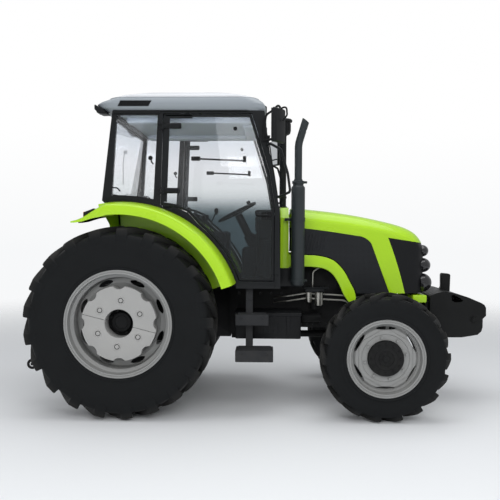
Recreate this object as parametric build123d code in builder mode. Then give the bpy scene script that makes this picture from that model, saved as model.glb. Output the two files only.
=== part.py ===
"""Farm tractor with four-wheel drive and a glazed cab.

Millimetres. X runs forward, Y to the tractor's left and Z up, with the ground at Z = 0 and the
origin under the middle of the machine. Side outlines are drawn from the rear axle's X at ground
level, or from the front axle's X where they belong to the front end.
"""
import os
from collections import namedtuple
from math import atan2, cos, degrees, radians, sin, sqrt

from build123d import *

os.makedirs("parts", exist_ok=True)

# ---- driving dimensions ---------------------------------------------------------------------
wheelbase = 2235
rear_axle_x = -1150
rear_track = 1560
front_track = 1700
fit_gap = 0.3            # between pieces seated on each other
moving_gap = 6           # between pieces that pass each other
running_gap = 0.05       # radial, between a shaft and its bore

Wheel = namedtuple("Wheel", "radius section bead flange rim_width disc_offset disc_r hub_hole_r "
                            "lugs lug_depth lug_sweep lug_inner lug_outer")
rear_wheel = Wheel(radius=820, section=467, bead=432, flange=457, rim_width=406,
                   disc_offset=30, disc_r=393, hub_hole_r=121,
                   lugs=21, lug_depth=40, lug_sweep=195, lug_inner=56, lug_outer=88)
front_wheel = Wheel(radius=545, section=285, bead=305, flange=330, rim_width=254,
                    disc_offset=80, disc_r=290, hub_hole_r=152,
                    lugs=18, lug_depth=32, lug_sweep=115, lug_inner=38, lug_outer=56)

front_axle_x = rear_axle_x + wheelbase
rear_axle_z = rear_wheel.radius
front_axle_z = front_wheel.radius
sides = (("right", -1), ("left", 1))

# cab and fenders
cab_half = 740           # outer face of the side frames
cab_wall = 50
glass_t = 6
floor_z = 1105
floor_t = 50
roof_z = 2625            # top of the cab frame
fender_crown_r = 1030
fender_outer_drop = 27   # from the crown down to the outer edge
fender_lip_drop = 115
fender_wall_r = 640
fender_t = 8
fender_inner_y = 500
fender_outer_y = 970
fender_start = 19        # degrees above the horizontal, at the front
fender_end = 97
fender_outer_r = fender_crown_r - fender_outer_drop
fender_lip_r = fender_crown_r - fender_lip_drop
fender_top_z = rear_axle_z + fender_crown_r

# hood
skin = 12
hood_rear_x = 1460       # from the rear axle
hood_gap = 22
hood_bottom_z = 1037
hood_half = 405
hinge_x = 1478
hinge_z = 1797

# drive line
engine_half = 230
engine_rear_x = 1480
engine_front_x = 2070


# ---- drawing helpers ------------------------------------------------------------------------
def span(side, near, far):
    """The Y range between two distances from the centre plane, on the side given."""
    return sorted((side * near, side * far))


def slab(path, y_range, base_x=rear_axle_x, mode=Mode.ADD, grow=0):
    """Plate with a side outline: a point ends a line, a pair of points is an arc's middle and end.

    `grow` sets the outline out from the one given, or in from it when negative.
    """
    low, high = y_range
    with BuildSketch(Plane(origin=(base_x, high, 0), x_dir=(1, 0, 0), z_dir=(0, -1, 0))) as face:
        with BuildLine():
            here = path[0]
            for step in path[1:]:
                if isinstance(step[0], tuple):
                    ThreePointArc(here, step[0], step[1])
                    here = step[1]
                else:
                    Line(here, step)
                    here = step
            if here != path[0]:
                Line(here, path[0])
        make_face()
        if grow:
            offset(amount=grow)
    extrude(face.sketch, amount=high - low, mode=mode)


def block(x_range, y_range, z_range, base_x=rear_axle_x, mode=Mode.ADD):
    """Box between three pairs of limits."""
    sizes = [high - low for low, high in (x_range, y_range, z_range)]
    middle = [(low + high) / 2 for low, high in (x_range, y_range, z_range)]
    with Locations((base_x + middle[0], middle[1], middle[2])):
        Box(*sizes, mode=mode)


def rod(start, end, radius, base_x=rear_axle_x, mode=Mode.ADD):
    """Round bar between two points."""
    start, end = (Vector(base_x + p[0], p[1], p[2]) for p in (start, end))
    with BuildSketch(Plane(origin=start, z_dir=end - start)) as face:
        Circle(radius)
    extrude(face.sketch, amount=(end - start).length, mode=mode)


def bar(start, end, across, thick, base_x=rear_axle_x, mode=Mode.ADD):
    """Square-edged bar between two points, `across` measured along Y as far as it can be."""
    start, end = (Vector(base_x + p[0], p[1], p[2]) for p in (start, end))
    along = end - start
    lean = Vector(0, 0, 1) if abs(along.normalized().Y) > 0.9 else Vector(0, 1, 0)
    sideways = lean - along * (lean.dot(along) / along.dot(along))
    with BuildSketch(Plane(origin=start, x_dir=sideways, z_dir=along)) as face:
        Rectangle(across, thick)
    extrude(face.sketch, amount=along.length, mode=mode)


def turned(points, centre_x, centre_z, mode=Mode.ADD, start=0, arc=360):
    """Ring about a wheel axis, from (Y, radius) points; start and arc count up from forward."""
    axis = Axis((centre_x, 0, centre_z), (0, -1, 0))
    plane = Plane(origin=(centre_x, 0, centre_z), x_dir=(0, 1, 0),
                  z_dir=(-sin(radians(start)), 0, cos(radians(start))))
    with BuildSketch(plane) as face:
        with BuildLine():
            Polyline([(y, -r) for y, r in points], close=True)
        make_face()
    revolve(face.sketch, axis=axis, revolution_arc=arc, mode=mode)


def save(piece, label):
    piece.part.label = label
    export_step(piece.part, f"parts/{label}.step")


def on_circle(radius, angle, centre_z=rear_axle_z):
    """Point of a side outline on a circle about the rear axle, the angle up from forward."""
    return radius * cos(radians(angle)), centre_z + radius * sin(radians(angle))


def arc_about_rear_axle(radius, first, last):
    """Arc step, as its middle and end, on a circle about the rear axle."""
    return on_circle(radius, (first + last) / 2), on_circle(radius, last)


def angle_at_height(radius, z):
    return degrees(atan2(z - rear_axle_z, sqrt(radius**2 - (z - rear_axle_z) ** 2)))


# ---- wheels ---------------------------------------------------------------------------------
rim_t = 9
disc_t = 14
front_hexagon_r = 232
front_ring_r = 190


def rim_points(wheel, side, middle):
    """Closed (Y, radius) outline of a drop-centre rim."""
    half = wheel.rim_width / 2
    outer = [(half + rim_t, wheel.flange), (half, wheel.flange), (half, wheel.bead),
             (half - 60, wheel.bead - 8), (half - 75, wheel.bead - 32)]
    inner = [(half - 75 - 8, wheel.bead - 32 - rim_t), (half - 60, wheel.bead - 8 - rim_t),
             (half + rim_t, wheel.bead - rim_t)]
    loop = outer + [(-y, r) for y, r in reversed(outer)] + [(-y, r) for y, r in reversed(inner)] + inner
    return [(side * (middle + y), r) for y, r in loop]


def faceted(stations, wheel, axle_x, mode=Mode.ADD):
    """Flat-sided ring or frustum about a wheel's axis through (Y, radius of its flats) stations."""
    corner = 1 / cos(radians(180 / wheel.lugs))
    turns = [radians(360 * index / wheel.lugs) for index in range(wheel.lugs)]
    rings = [[(axle_x + r * corner * cos(turn), y, wheel.radius + r * corner * sin(turn)) for turn in turns]
             for y, r in stations]
    outlines = [rings[0], rings[-1]]
    for near, far in zip(rings, rings[1:]):
        outlines += [(near[k - 1], near[k], far[k], far[k - 1]) for k in range(wheel.lugs)]
    add(Solid(Shell([Face(Wire.make_polygon(outline)) for outline in outlines])), mode=mode)


def make_tyre(wheel, end, name, side, track, axle_x):
    """Casing with a flat for each lug, and straight chevron lugs whose inner ends lead at the top."""
    middle = side * track / 2
    half_bead = wheel.rim_width / 2 - fit_gap
    half = wheel.section / 2
    depth = wheel.radius - wheel.bead
    crown = wheel.radius - wheel.lug_depth - 8
    wall = [(half, wheel.bead + 0.45 * depth), (half - 12, wheel.bead + 0.76 * depth), (half - 45, crown)]
    reach = (wheel.lug_sweep + wheel.lug_outer) / 2
    lug_top = sqrt(wheel.radius**2 - reach**2)
    lug_foot = crown - 60
    first = -90 - degrees(atan2(reach, lug_top))
    pitch = 360 / wheel.lugs
    with BuildPart() as tyre:
        faceted([(middle - y, r) for y, r in wall] + [(middle + y, r) for y, r in reversed(wall)], wheel, axle_x)
        for way in (-1, 1):
            faceted([(middle + way * half_bead, wheel.flange + fit_gap), (middle + way * (half + 1), wall[0][1])],
                    wheel, axle_x, Mode.SUBTRACT)
        faceted([(middle - half_bead - 1, wheel.bead + fit_gap), (middle + half_bead + 1, wheel.bead + fit_gap)],
                wheel, axle_x, Mode.SUBTRACT)
        inner, outer = -wheel.lug_sweep / 2, wheel.lug_sweep / 2
        lugs = []
        for index in range(2 * wheel.lugs):
            way = 1 if index % 2 else -1
            angle = radians(first + pitch * index / 2)
            plane = Plane(origin=(axle_x + lug_foot * cos(angle), middle, wheel.radius + lug_foot * sin(angle)),
                          x_dir=(-sin(angle), 0, cos(angle)), z_dir=(cos(angle), 0, sin(angle)))
            with BuildSketch(plane) as lug:
                Polygon((inner - wheel.lug_inner / 2, -way * 14), (inner + wheel.lug_inner / 2, -way * 14),
                        (outer + wheel.lug_outer / 2, way * (half - 26)), (outer - wheel.lug_outer / 2, way * (half - 26)),
                        align=None)
            lugs.append(extrude(lug.sketch, amount=lug_top - lug_foot, mode=Mode.PRIVATE))
        add(lugs)
    save(tyre, f"tyre_{end}_{name}")


def make_rim(wheel, end, name, side, track, axle_x, windows, window_r, window_size):
    middle = track / 2
    disc_y = middle + wheel.disc_offset
    with BuildPart() as rim:
        turned(rim_points(wheel, side, middle), axle_x, wheel.radius)
        turned([(side * (disc_y - disc_t), wheel.hub_hole_r), (side * disc_y, wheel.hub_hole_r),
                (side * disc_y, wheel.disc_r), (side * (disc_y - disc_t), wheel.disc_r)], axle_x, wheel.radius)
        with BuildSketch(Plane(origin=(axle_x, side * disc_y, wheel.radius), z_dir=(0, side, 0),
                               x_dir=(1, 0, 0))) as holes:
            with PolarLocations(window_r, windows, start_angle=90):
                SlotOverall(*window_size, rotation=90)
        extrude(holes.sketch, amount=-disc_t, mode=Mode.SUBTRACT)
        if wheel is front_wheel:
            with BuildSketch(Plane(origin=(axle_x, side * disc_y, wheel.radius), z_dir=(0, side, 0),
                                   x_dir=(1, 0, 0))) as pressing:
                RegularPolygon(front_hexagon_r, 6)
                Circle(front_ring_r, mode=Mode.SUBTRACT)
            extrude(pressing.sketch, amount=6)
    save(rim, f"rim_{end}_{name}")


rear_half = rear_track / 2
front_half = front_track / 2
axle_end_r = 85
axle_shaft_r = 45
shaft_inner_y = 380
hub_flange_r = 165
hub_flange_t = 30
weight_r = 320
weight_t = 130
weight_boss_r = 34
weight_boss_t = 8
weight_boss_at = 196
trumpet_end = 690
rear_disc_y = rear_half + rear_wheel.disc_offset
front_disc_y = front_half + front_wheel.disc_offset

for name, side in sides:
    make_tyre(rear_wheel, "rear", name, side, rear_track, rear_axle_x)
    make_rim(rear_wheel, "rear", name, side, rear_track, rear_axle_x, 8, 346, (120, 46))
    make_tyre(front_wheel, "front", name, side, front_track, front_axle_x)
    make_rim(front_wheel, "front", name, side, front_track, front_axle_x, 6, 246, (130, 34))

    # Scalloped wheel weight bolted to the rear disc.
    with BuildPart() as weight:
        plane = Plane(origin=(rear_axle_x, side * (rear_disc_y + fit_gap), rear_axle_z),
                      z_dir=(0, side, 0), x_dir=(1, 0, 0))
        with BuildSketch(plane) as plate:
            Circle(weight_r)
            with PolarLocations(weight_r + 30, 8, start_angle=22.5):
                Circle(60, mode=Mode.SUBTRACT)
            Circle(rear_wheel.hub_hole_r, mode=Mode.SUBTRACT)
        extrude(plate.sketch, amount=weight_t)
        with BuildSketch(plane.offset(weight_t)) as bosses:
            with PolarLocations(weight_boss_at, 6, start_angle=25):
                Circle(weight_boss_r)
        extrude(bosses.sketch, amount=weight_boss_t)
    save(weight, f"wheel_weight_{name}")

    # Half shaft with the flange that carries the rear wheel.
    with BuildPart() as shaft:
        inner = rear_disc_y - disc_t - fit_gap
        rod((0, side * shaft_inner_y, rear_axle_z), (0, side * (inner - hub_flange_t), rear_axle_z), axle_shaft_r)
        rod((0, side * (inner - hub_flange_t), rear_axle_z), (0, side * inner, rear_axle_z), hub_flange_r)
        rod((0, side * inner, rear_axle_z), (0, side * (inner + 30), rear_axle_z), axle_end_r)
    save(shaft, f"half_shaft_{name}")

# ---- steered front hubs ---------------------------------------------------------------------
kingpin_y = 600
kingpin_r = 28
knuckle_r = 95
knuckle_half_h = 105
ear_t = 32
ear_r = 65
drum_r = 125
neck_r = 110
spindle_r = 60
hub_r = 150
steer_arm = 165          # from the kingpin back to the rod's eye
arm_t = 24
steer_arm_width = 58
arm_z = -knuckle_half_h + moving_gap + arm_t / 2
hub_back = front_disc_y - disc_t - fit_gap - hub_flange_t
drum_end = hub_back - moving_gap

for name, side in sides:
    def at(y, dx=0, dz=0):
        return dx, side * y, front_axle_z + dz

    with BuildPart() as knuckle:
        rod(at(kingpin_y, dz=-knuckle_half_h), at(kingpin_y, dz=knuckle_half_h), knuckle_r, front_axle_x)
        rod(at(kingpin_y + ear_r + moving_gap), at(drum_end), neck_r, front_axle_x)
        rod(at(drum_end - 60), at(drum_end), drum_r, front_axle_x)
        rod(at(drum_end - 1), at(front_disc_y + 10), spindle_r, front_axle_x)
        bar(at(kingpin_y, -60, arm_z), at(kingpin_y, -steer_arm - 30, arm_z), steer_arm_width, arm_t, front_axle_x)
        rod(at(kingpin_y, dz=-knuckle_half_h - 1), at(kingpin_y, dz=knuckle_half_h + 1),
            kingpin_r + running_gap, front_axle_x, mode=Mode.SUBTRACT)
    save(knuckle, f"knuckle_{name}")

    with BuildPart() as hub:
        rod(at(hub_back), at(hub_back + hub_flange_t), 185, front_axle_x)
        rod(at(hub_back + hub_flange_t), at(front_disc_y + 45), hub_r, front_axle_x)
        rod(at(hub_back), at(front_disc_y + 12), spindle_r + running_gap, front_axle_x,
            mode=Mode.SUBTRACT)
    save(hub, f"front_hub_{name}")

# Front axle beam with its pivot, the forks for the kingpins and the steering cylinder behind it.
beam_end = kingpin_y - knuckle_r - moving_gap
pivot_r = 55
pivot_z = front_axle_z + 150
pivot_half = 150
pivot_ear_t = 35
diff_half_x = 105
cylinder_r = 38
cylinder_rod_r = 17
cylinder_half = 190
cylinder_z = front_axle_z + arm_z + arm_t / 2 + moving_gap + 22
with BuildPart() as front_axle:
    block((-70, 70), (20 - beam_end, beam_end - 20), (front_axle_z - 80, front_axle_z + 80), front_axle_x)
    block((-diff_half_x, diff_half_x), (-150, 150), (front_axle_z - 120, front_axle_z + 100), front_axle_x)
    for name, side in sides:
        for up in (-1, 1):
            near, far = sorted((up * (knuckle_half_h + fit_gap), up * (knuckle_half_h + ear_t)))
            block((-60, 60), span(side, beam_end - 40, kingpin_y), (front_axle_z + near, front_axle_z + far),
                  front_axle_x)
            rod((0, side * kingpin_y, front_axle_z + near), (0, side * kingpin_y, front_axle_z + far), ear_r,
                front_axle_x)
            rod((0, side * kingpin_y, front_axle_z + up * (knuckle_half_h - 60)),
                (0, side * kingpin_y, front_axle_z + up * (knuckle_half_h + 1)), kingpin_r, front_axle_x)
        block((-60, 60), span(side, beam_end - 40, beam_end),
              (front_axle_z - knuckle_half_h - ear_t, front_axle_z + knuckle_half_h + ear_t), front_axle_x)
    rod((-pivot_half, 0, pivot_z), (pivot_half, 0, pivot_z), pivot_r, front_axle_x)
    block((-diff_half_x, diff_half_x), (-pivot_r, pivot_r), (front_axle_z + 90, pivot_z), front_axle_x)
    rod((-steer_arm, -cylinder_half, cylinder_z), (-steer_arm, cylinder_half, cylinder_z), cylinder_r, front_axle_x)
    for y in (-165, 165):
        block((-steer_arm, -69), (y - 14, y + 14), (cylinder_z - 20, cylinder_z + 20), front_axle_x)
    rod((-steer_arm, -cylinder_half - 1, cylinder_z), (-steer_arm, cylinder_half + 1, cylinder_z),
        cylinder_rod_r + running_gap, front_axle_x, mode=Mode.SUBTRACT)
save(front_axle, "front_axle")

with BuildPart() as steering_rod:
    rod((-steer_arm, -kingpin_y, cylinder_z), (-steer_arm, kingpin_y, cylinder_z), cylinder_rod_r, front_axle_x)
    for y in (-kingpin_y, kingpin_y):
        rod((-steer_arm, y, cylinder_z - 22), (-steer_arm, y, cylinder_z + 22), 28, front_axle_x)
save(steering_rod, "steering_rod")

# ---- drive line -----------------------------------------------------------------------------
link_pivot = (-60, 240, 500)
link_pin_r = 18
link_end = (-917, 430, 372)
lift_shaft = (-200, 1010)            # X and Z of the rockshaft
lift_shaft_r = 30
lift_arm_y = 254
lift_arm_t = 25
lift_arm_length = 300
lift_arm_drop = 20                   # degrees below the horizontal at rest
lift_rod_y = 292
lift_rod_r = 13
drive_shaft_z = front_axle_z + 60
gearbox_low = drive_shaft_z + 35
housing_rear = -300
pto_r = 17.5
pto_length = 75
pto_z = 640
top_link_r = 12.8
top_link_z = 930
drawbar_z = 410
drawbar_t = 35
drawbar_half = 35
drawbar_end = -640
drawbar_hole_r = 15.5

with BuildPart() as transmission:
    block((housing_rear, 250), (-210, 210), (560, 1085))
    for name, side in sides:
        rod((0, side * 200, rear_axle_z), (0, side * 430, rear_axle_z), 150)
        rod((0, side * 420, rear_axle_z), (0, side * trumpet_end, rear_axle_z), 105)
        rod((0, side * (trumpet_end - 30), rear_axle_z), (0, side * trumpet_end, rear_axle_z), 135)
        rod((0, side * (shaft_inner_y - 1), rear_axle_z), (0, side * (trumpet_end + 1), rear_axle_z),
            axle_shaft_r + running_gap, mode=Mode.SUBTRACT)
        block((link_pivot[0] - 60, link_pivot[0] + 60), span(side, 170, link_pivot[1] - 20 - moving_gap),
              (link_pivot[2] - 50, 561))
        rod((link_pivot[0], side * 190, link_pivot[2]), (link_pivot[0], side * (link_pivot[1] + 26), link_pivot[2]),
            link_pin_r)
    rod((lift_shaft[0], -211, lift_shaft[1]), (lift_shaft[0], 211, lift_shaft[1]), lift_shaft_r + running_gap,
        mode=Mode.SUBTRACT)
    rod((housing_rear - pto_length, 0, pto_z), (housing_rear + 1, 0, pto_z), pto_r)
    for side in (-1, 1):
        block((housing_rear - 75, housing_rear + 1), span(side, 30, 45), (top_link_z - 35, top_link_z + 35))
    rod((housing_rear - 45, -46, top_link_z), (housing_rear - 45, 46, top_link_z), top_link_r, mode=Mode.SUBTRACT)
    for x in (-230, -20):
        block((x - 30, x + 30), (-60, 60), (drawbar_z + drawbar_t / 2 + fit_gap, 561))
        block((x - 30, x + 30), (-60, 60), (drawbar_z - drawbar_t / 2 - 16, drawbar_z - drawbar_t / 2 - fit_gap))
        for side in (-1, 1):
            block((x - 30, x + 30), span(side, drawbar_half + fit_gap, 60),
                  (drawbar_z - drawbar_t / 2 - 16, drawbar_z + drawbar_t / 2 + 2))
    block((240, 900), (-180, 180), (drive_shaft_z - 5, 1060))
    block((890, engine_rear_x - fit_gap), (-engine_half, engine_half), (gearbox_low, 1090))
save(transmission, "transmission")

# What hangs on the engine's right side, columns: start and end, radius
fitting_y = -(engine_half + 58)
engine_fittings = (
    ((1690, fitting_y, 880), (1690, fitting_y, 1010), 46),      # oil filter
    ((1900, fitting_y, 1130), (1990, fitting_y, 1130), 60),     # alternator
    ((1570, fitting_y, 800), (1740, fitting_y, 800), 42),       # starter
)
with BuildPart() as engine:
    block((engine_rear_x, engine_front_x), (-engine_half, engine_half), (700, 1390))
    for start, end, radius in engine_fittings:
        rod(start, end, radius)
        x, z = (start[0] + end[0]) / 2, (start[2] + end[2]) / 2
        block((x - 22, x + 22), (fitting_y, 1 - engine_half), (z - 22, z + 22))
save(engine, "engine_block")

support_front = 470
carrier_t = 30
with BuildPart() as front_support:
    block((engine_front_x - wheelbase + fit_gap, support_front), (-185, 185), (790, 950), front_axle_x)
    for x in (-pivot_half, pivot_half - pivot_ear_t):
        block((x, x + pivot_ear_t), (-80, 80), (front_axle_z + 105, 800), front_axle_x)
        rod((x - 1, 0, pivot_z), (x + pivot_ear_t + 1, 0, pivot_z), pivot_r + running_gap, front_axle_x,
            mode=Mode.SUBTRACT)
    block((support_front, support_front + carrier_t), (-300, 300), (720, 1000), front_axle_x)
save(front_support, "front_support")

with BuildPart() as radiator:
    block((2230, 2380), (-290, 290), (950 + fit_gap, 1470))
save(radiator, "radiator")

with BuildPart() as drive_shaft:
    rod((900 + fit_gap, 0, drive_shaft_z), (wheelbase - diff_half_x - fit_gap, 0, drive_shaft_z), 32)
    block((900 + fit_gap, 960), (-40, 40), (drive_shaft_z - 40, gearbox_low - fit_gap))
save(drive_shaft, "front_drive_shaft")

# ---- hood -----------------------------------------------------------------------------------
# columns: X from the rear axle, half width, top
hood_sections = (
    (hood_rear_x, hood_half, 1824),
    (1980, 400, 1768),
    (2400, 385, 1682),
    (2570, 355, 1622),
    (2650, 310, 1562),
    (2700, 250, 1494),
)
crease_drop = 105
shoulder = 100
crown_drop = 14


def hood_section(x, half, top, low):
    """Face across the hood: crowned top, sloping shoulders down to the creases and flat sides."""
    with BuildSketch(Plane.YZ.offset(rear_axle_x + x)) as face:
        with BuildLine():
            ThreePointArc((-half + shoulder, top - crown_drop), (0, top), (half - shoulder, top - crown_drop))
            Polyline((half - shoulder, top - crown_drop), (half, top - crease_drop), (half, low), (-half, low),
                     (-half, top - crease_drop), (-half + shoulder, top - crown_drop))
        make_face()
    return face.sketch.face()


def hood_volume(inset, rear_x):
    """Solid under the hood's skin, drawn in from the outer face by `inset`."""
    faces = []
    for index, (x, half, top) in enumerate(hood_sections):
        if index == 0:
            x = rear_x
        elif index == len(hood_sections) - 1:
            x -= inset
        faces.append(hood_section(x, half - inset, top - inset, hood_bottom_z - inset))
    with BuildPart(mode=Mode.PRIVATE) as volume:
        loft(faces, ruled=True)
    return volume.part


full_width = (-hood_half - 20, hood_half + 20)
paint_outline = [(hood_rear_x, 1640), ((1780, 1603), (2057, 1561)), ((2150, 1530), (2189, 1490)),
                 (2360, hood_bottom_z), (2502, hood_bottom_z), ((2431, 1291), (2340, 1545)),
                 (2720, 1488), (2720, 1900), (hood_rear_x, 1900)]
window_outline = [(hood_rear_x, 1640), ((1780, 1603), (2057, 1561)), ((2150, 1530), (2189, 1490)),
                  (2360, hood_bottom_z), (2075, hood_bottom_z), ((1960, 1290), (1790, 1385)), (hood_rear_x, 1398)]
nose_outline = [(2502, hood_bottom_z), ((2431, 1291), (2340, 1545)), (2720, 1488), (2720, hood_bottom_z)]
hinge_y = 60

with BuildPart() as hood:
    add(hood_volume(0, hood_rear_x))
    add(hood_volume(skin, hood_rear_x - 10), mode=Mode.SUBTRACT)
    slab(paint_outline, full_width, mode=Mode.INTERSECT)
    for y in (-hinge_y, hinge_y):
        block((hinge_x - 6, hinge_x + 50), (y - 9, y + 9), (hinge_z - 8, 1808))
        rod((hinge_x, y - 24, hinge_z), (hinge_x, y + 24, hinge_z), 4)
save(hood, "hood")

louvre_x = 1500
louvre_pitch = 30
louvre_t = 12
louvre_lean = 38
louvre_z = (1425, 1575)
with BuildPart() as louvres:
    for index in range(9):
        x = louvre_x + index * louvre_pitch
        slab([(x, louvre_z[0]), (x + louvre_t, louvre_z[0]), (x + louvre_t + louvre_lean, louvre_z[1]),
              (x + louvre_lean, louvre_z[1])], full_width)
    add(hood_volume(0, hood_rear_x - 10), mode=Mode.INTERSECT)
    add(hood_volume(skin - 2, hood_rear_x - 10), mode=Mode.SUBTRACT)

with BuildPart() as side_grilles:
    add(hood_volume(3, hood_rear_x))
    add(hood_volume(skin - 2, hood_rear_x - 10), mode=Mode.SUBTRACT)
    slab(window_outline, full_width, mode=Mode.INTERSECT, grow=-fit_gap)
    add(louvres.part)
save(side_grilles, "side_grilles")

nose_inset = 2
nose_front = hood_sections[-1][0]
bar_half = 90
bar_h = 12
bar_pitch = 30
with BuildPart() as nose:
    add(hood_volume(nose_inset, hood_rear_x))
    add(hood_volume(skin, hood_rear_x - 10), mode=Mode.SUBTRACT)
    slab(nose_outline, full_width, mode=Mode.INTERSECT, grow=-fit_gap)
    for index in range(13):
        low = hood_bottom_z + 30 + index * bar_pitch
        block((nose_front - skin, nose_front + 6), (-bar_half, bar_half), (low, low + bar_h))
save(nose, "nose_grille")

# Lamps bulge from the nose, columns: height, radius, distance from the centre plane, bulge
lamps = ((1423, 54, 190, 44), (1290, 68, 205, 62), (1128, 85, 222, 72))
with BuildPart() as headlamps:
    for z, radius, y, bulge in lamps:
        ball_r = (radius**2 + bulge**2) / (2 * bulge)
        with Locations(*[(rear_axle_x + nose_front + bulge - ball_r, side * y, z) for side in (-1, 1)]):
            Sphere(ball_r)
    block((nose_front - 45, nose_front + 200), full_width, (hood_bottom_z, 1600), mode=Mode.INTERSECT)
    add(hood_volume(nose_inset - fit_gap, hood_rear_x - 10), mode=Mode.SUBTRACT)
save(headlamps, "headlamps")

cowl_rear_x = 1362
cowl_front_x = hood_rear_x - hood_gap
cowl_bottom_z = 1266
intake_x = 1400
intake_y = 275
intake_r = 33
boss_top = 1832
with BuildPart() as cowl:
    extrude(hood_section(cowl_rear_x, hood_half, 1828, cowl_bottom_z), amount=cowl_front_x - cowl_rear_x)
    block((cowl_rear_x + skin, cowl_front_x + 1), (-hood_half + skin, hood_half - skin),
          (cowl_bottom_z - 1, 1700), mode=Mode.SUBTRACT)
    rod((intake_x, intake_y, 1750), (intake_x, intake_y, boss_top), intake_r + 8)
    for y in (-hinge_y, hinge_y):
        for edge in (-17, 17):
            block((cowl_front_x - 2, hinge_x + 6), (y + edge - 5, y + edge + 5), (hinge_z - 62, hinge_z - 36))
            block((hinge_x - 6, hinge_x + 6), (y + edge - 5, y + edge + 5), (hinge_z - 37, hinge_z))
            rod((hinge_x, y + edge - 5, hinge_z), (hinge_x, y + edge + 5, hinge_z), 6.5)
            rod((hinge_x, y + edge - 6, hinge_z), (hinge_x, y + edge + 6, hinge_z), 4 + running_gap,
                mode=Mode.SUBTRACT)
save(cowl, "cowl")

with BuildPart() as lower_panels:
    for name, side in sides:
        slab([(cowl_rear_x + 2, cowl_bottom_z - 8), (1690, 1240), ((1850, 1150), (1943, 954)), (2030, 954),
              (2065, hood_bottom_z - moving_gap), ((1950, 1280), (1785, 1374)), (cowl_front_x + 2, 1387),
              (cowl_front_x + 2, cowl_bottom_z - fit_gap), (cowl_rear_x + 2, cowl_bottom_z - fit_gap)],
             span(side, 393, hood_half - 3))
        for x in (1500, 1760):
            block((x, x + 40), span(side, engine_half + fit_gap, 394), (1290, 1320))
    block((2577, 2704), (-360, 360), (950 + fit_gap, 1020))
save(lower_panels, "lower_panels")

# ---- exhaust and air intake -----------------------------------------------------------------
exhaust_y = -520
exhaust_x = 1515
muffler_r = 62
tail_pipe_r = 32.5
muffler_top = 1990
pipe_start = 2050
with BuildPart() as exhaust:
    rod((exhaust_x, exhaust_y, 1110), (exhaust_x, exhaust_y, muffler_top), muffler_r)
    with BuildSketch(Plane((rear_axle_x + exhaust_x, exhaust_y, muffler_top))):
        Circle(muffler_r)
    with BuildSketch(Plane((rear_axle_x + exhaust_x, exhaust_y, pipe_start))):
        Circle(tail_pipe_r)
    loft()
    with BuildLine() as route:
        FilletPolyline((rear_axle_x + exhaust_x, exhaust_y, pipe_start), (rear_axle_x + exhaust_x, exhaust_y, 2360),
                       (rear_axle_x + exhaust_x + 75, exhaust_y, 2575), radius=200)
    with BuildSketch(Plane((rear_axle_x + exhaust_x, exhaust_y, pipe_start))):
        Circle(tail_pipe_r)
    sweep()
    rod((exhaust_x, exhaust_y, 1180), (exhaust_x, -engine_half - fit_gap, 1180), 30)
    for z in (pipe_start - 3, 1150):
        rod((exhaust_x, exhaust_y, z), (exhaust_x, exhaust_y, z + 22), (tail_pipe_r if z > muffler_top else muffler_r) + 7)
save(exhaust, "exhaust_stack")

with BuildPart() as intake:
    rod((intake_x, intake_y, boss_top + fit_gap), (intake_x, intake_y, 2530), intake_r)
    rod((intake_x, intake_y, 2530), (intake_x, intake_y, 2600), 92)
    rod((intake_x, intake_y, 2600), (intake_x, intake_y, 2720), 70)
save(intake, "air_intake")

# ---- cab ------------------------------------------------------------------------------------
inside = cab_half - cab_wall                 # inner face of the side frames
door_edge_r = fender_crown_r + 36
waist_z = fender_top_z - 50             # foot of the centre pillar's edge of the door
door_bottom_z = 1172
door_end = 52
rail_r = fender_crown_r + fit_gap
sill_z = floor_z + floor_t
rear_rail_z = fender_top_z + 62
sill_x = sqrt(rail_r**2 - (sill_z - rear_axle_z) ** 2)
rail_start = angle_at_height(rail_r, sill_z)
rail_end = 99
door_start = angle_at_height(door_edge_r, door_bottom_z)
frame_outline = [(-184, fender_top_z + 10), (-88, roof_z), (1213, roof_z), (1270, 2212), (1347, 1788), (1358, floor_z),
                 (sill_x, floor_z), on_circle(rail_r, rail_start), arc_about_rear_axle(rail_r, rail_start, rail_end)]
door_outline = [(372, 2596), (1096, 2596), (1157, 2376), (1237, 2120), (1284, 1837), (1284, door_bottom_z),
                on_circle(door_edge_r, door_start), arc_about_rear_axle(door_edge_r, door_start, door_end),
                (560, waist_z), (340, waist_z)]
quarter_outline = [(-52, 2590), (303, 2590), (262, fender_top_z + 22),
                   ((90, fender_top_z + 50), (-100, fender_top_z + 55))]

# Door hinges: height, and the pin on a vertical line outside the centre pillar.
hinge_heights = (1945, 2495)
hinge_pin_x = 350
hinge_pin_y = cab_half + 11
hinge_pin_r = 5
barrel_r = 9.5
barrel_half = 14
barrel_h = 14

grab_rail = ((1238, cab_half - 6, 2330), (1262, cab_half + 100, 2335), (1352, cab_half + 108, 2285),
             (1412, cab_half + 108, 2085), (1434, cab_half + 108, 1930), (1326, cab_half - 6, 1890))
grab_rail_r = 11

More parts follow.
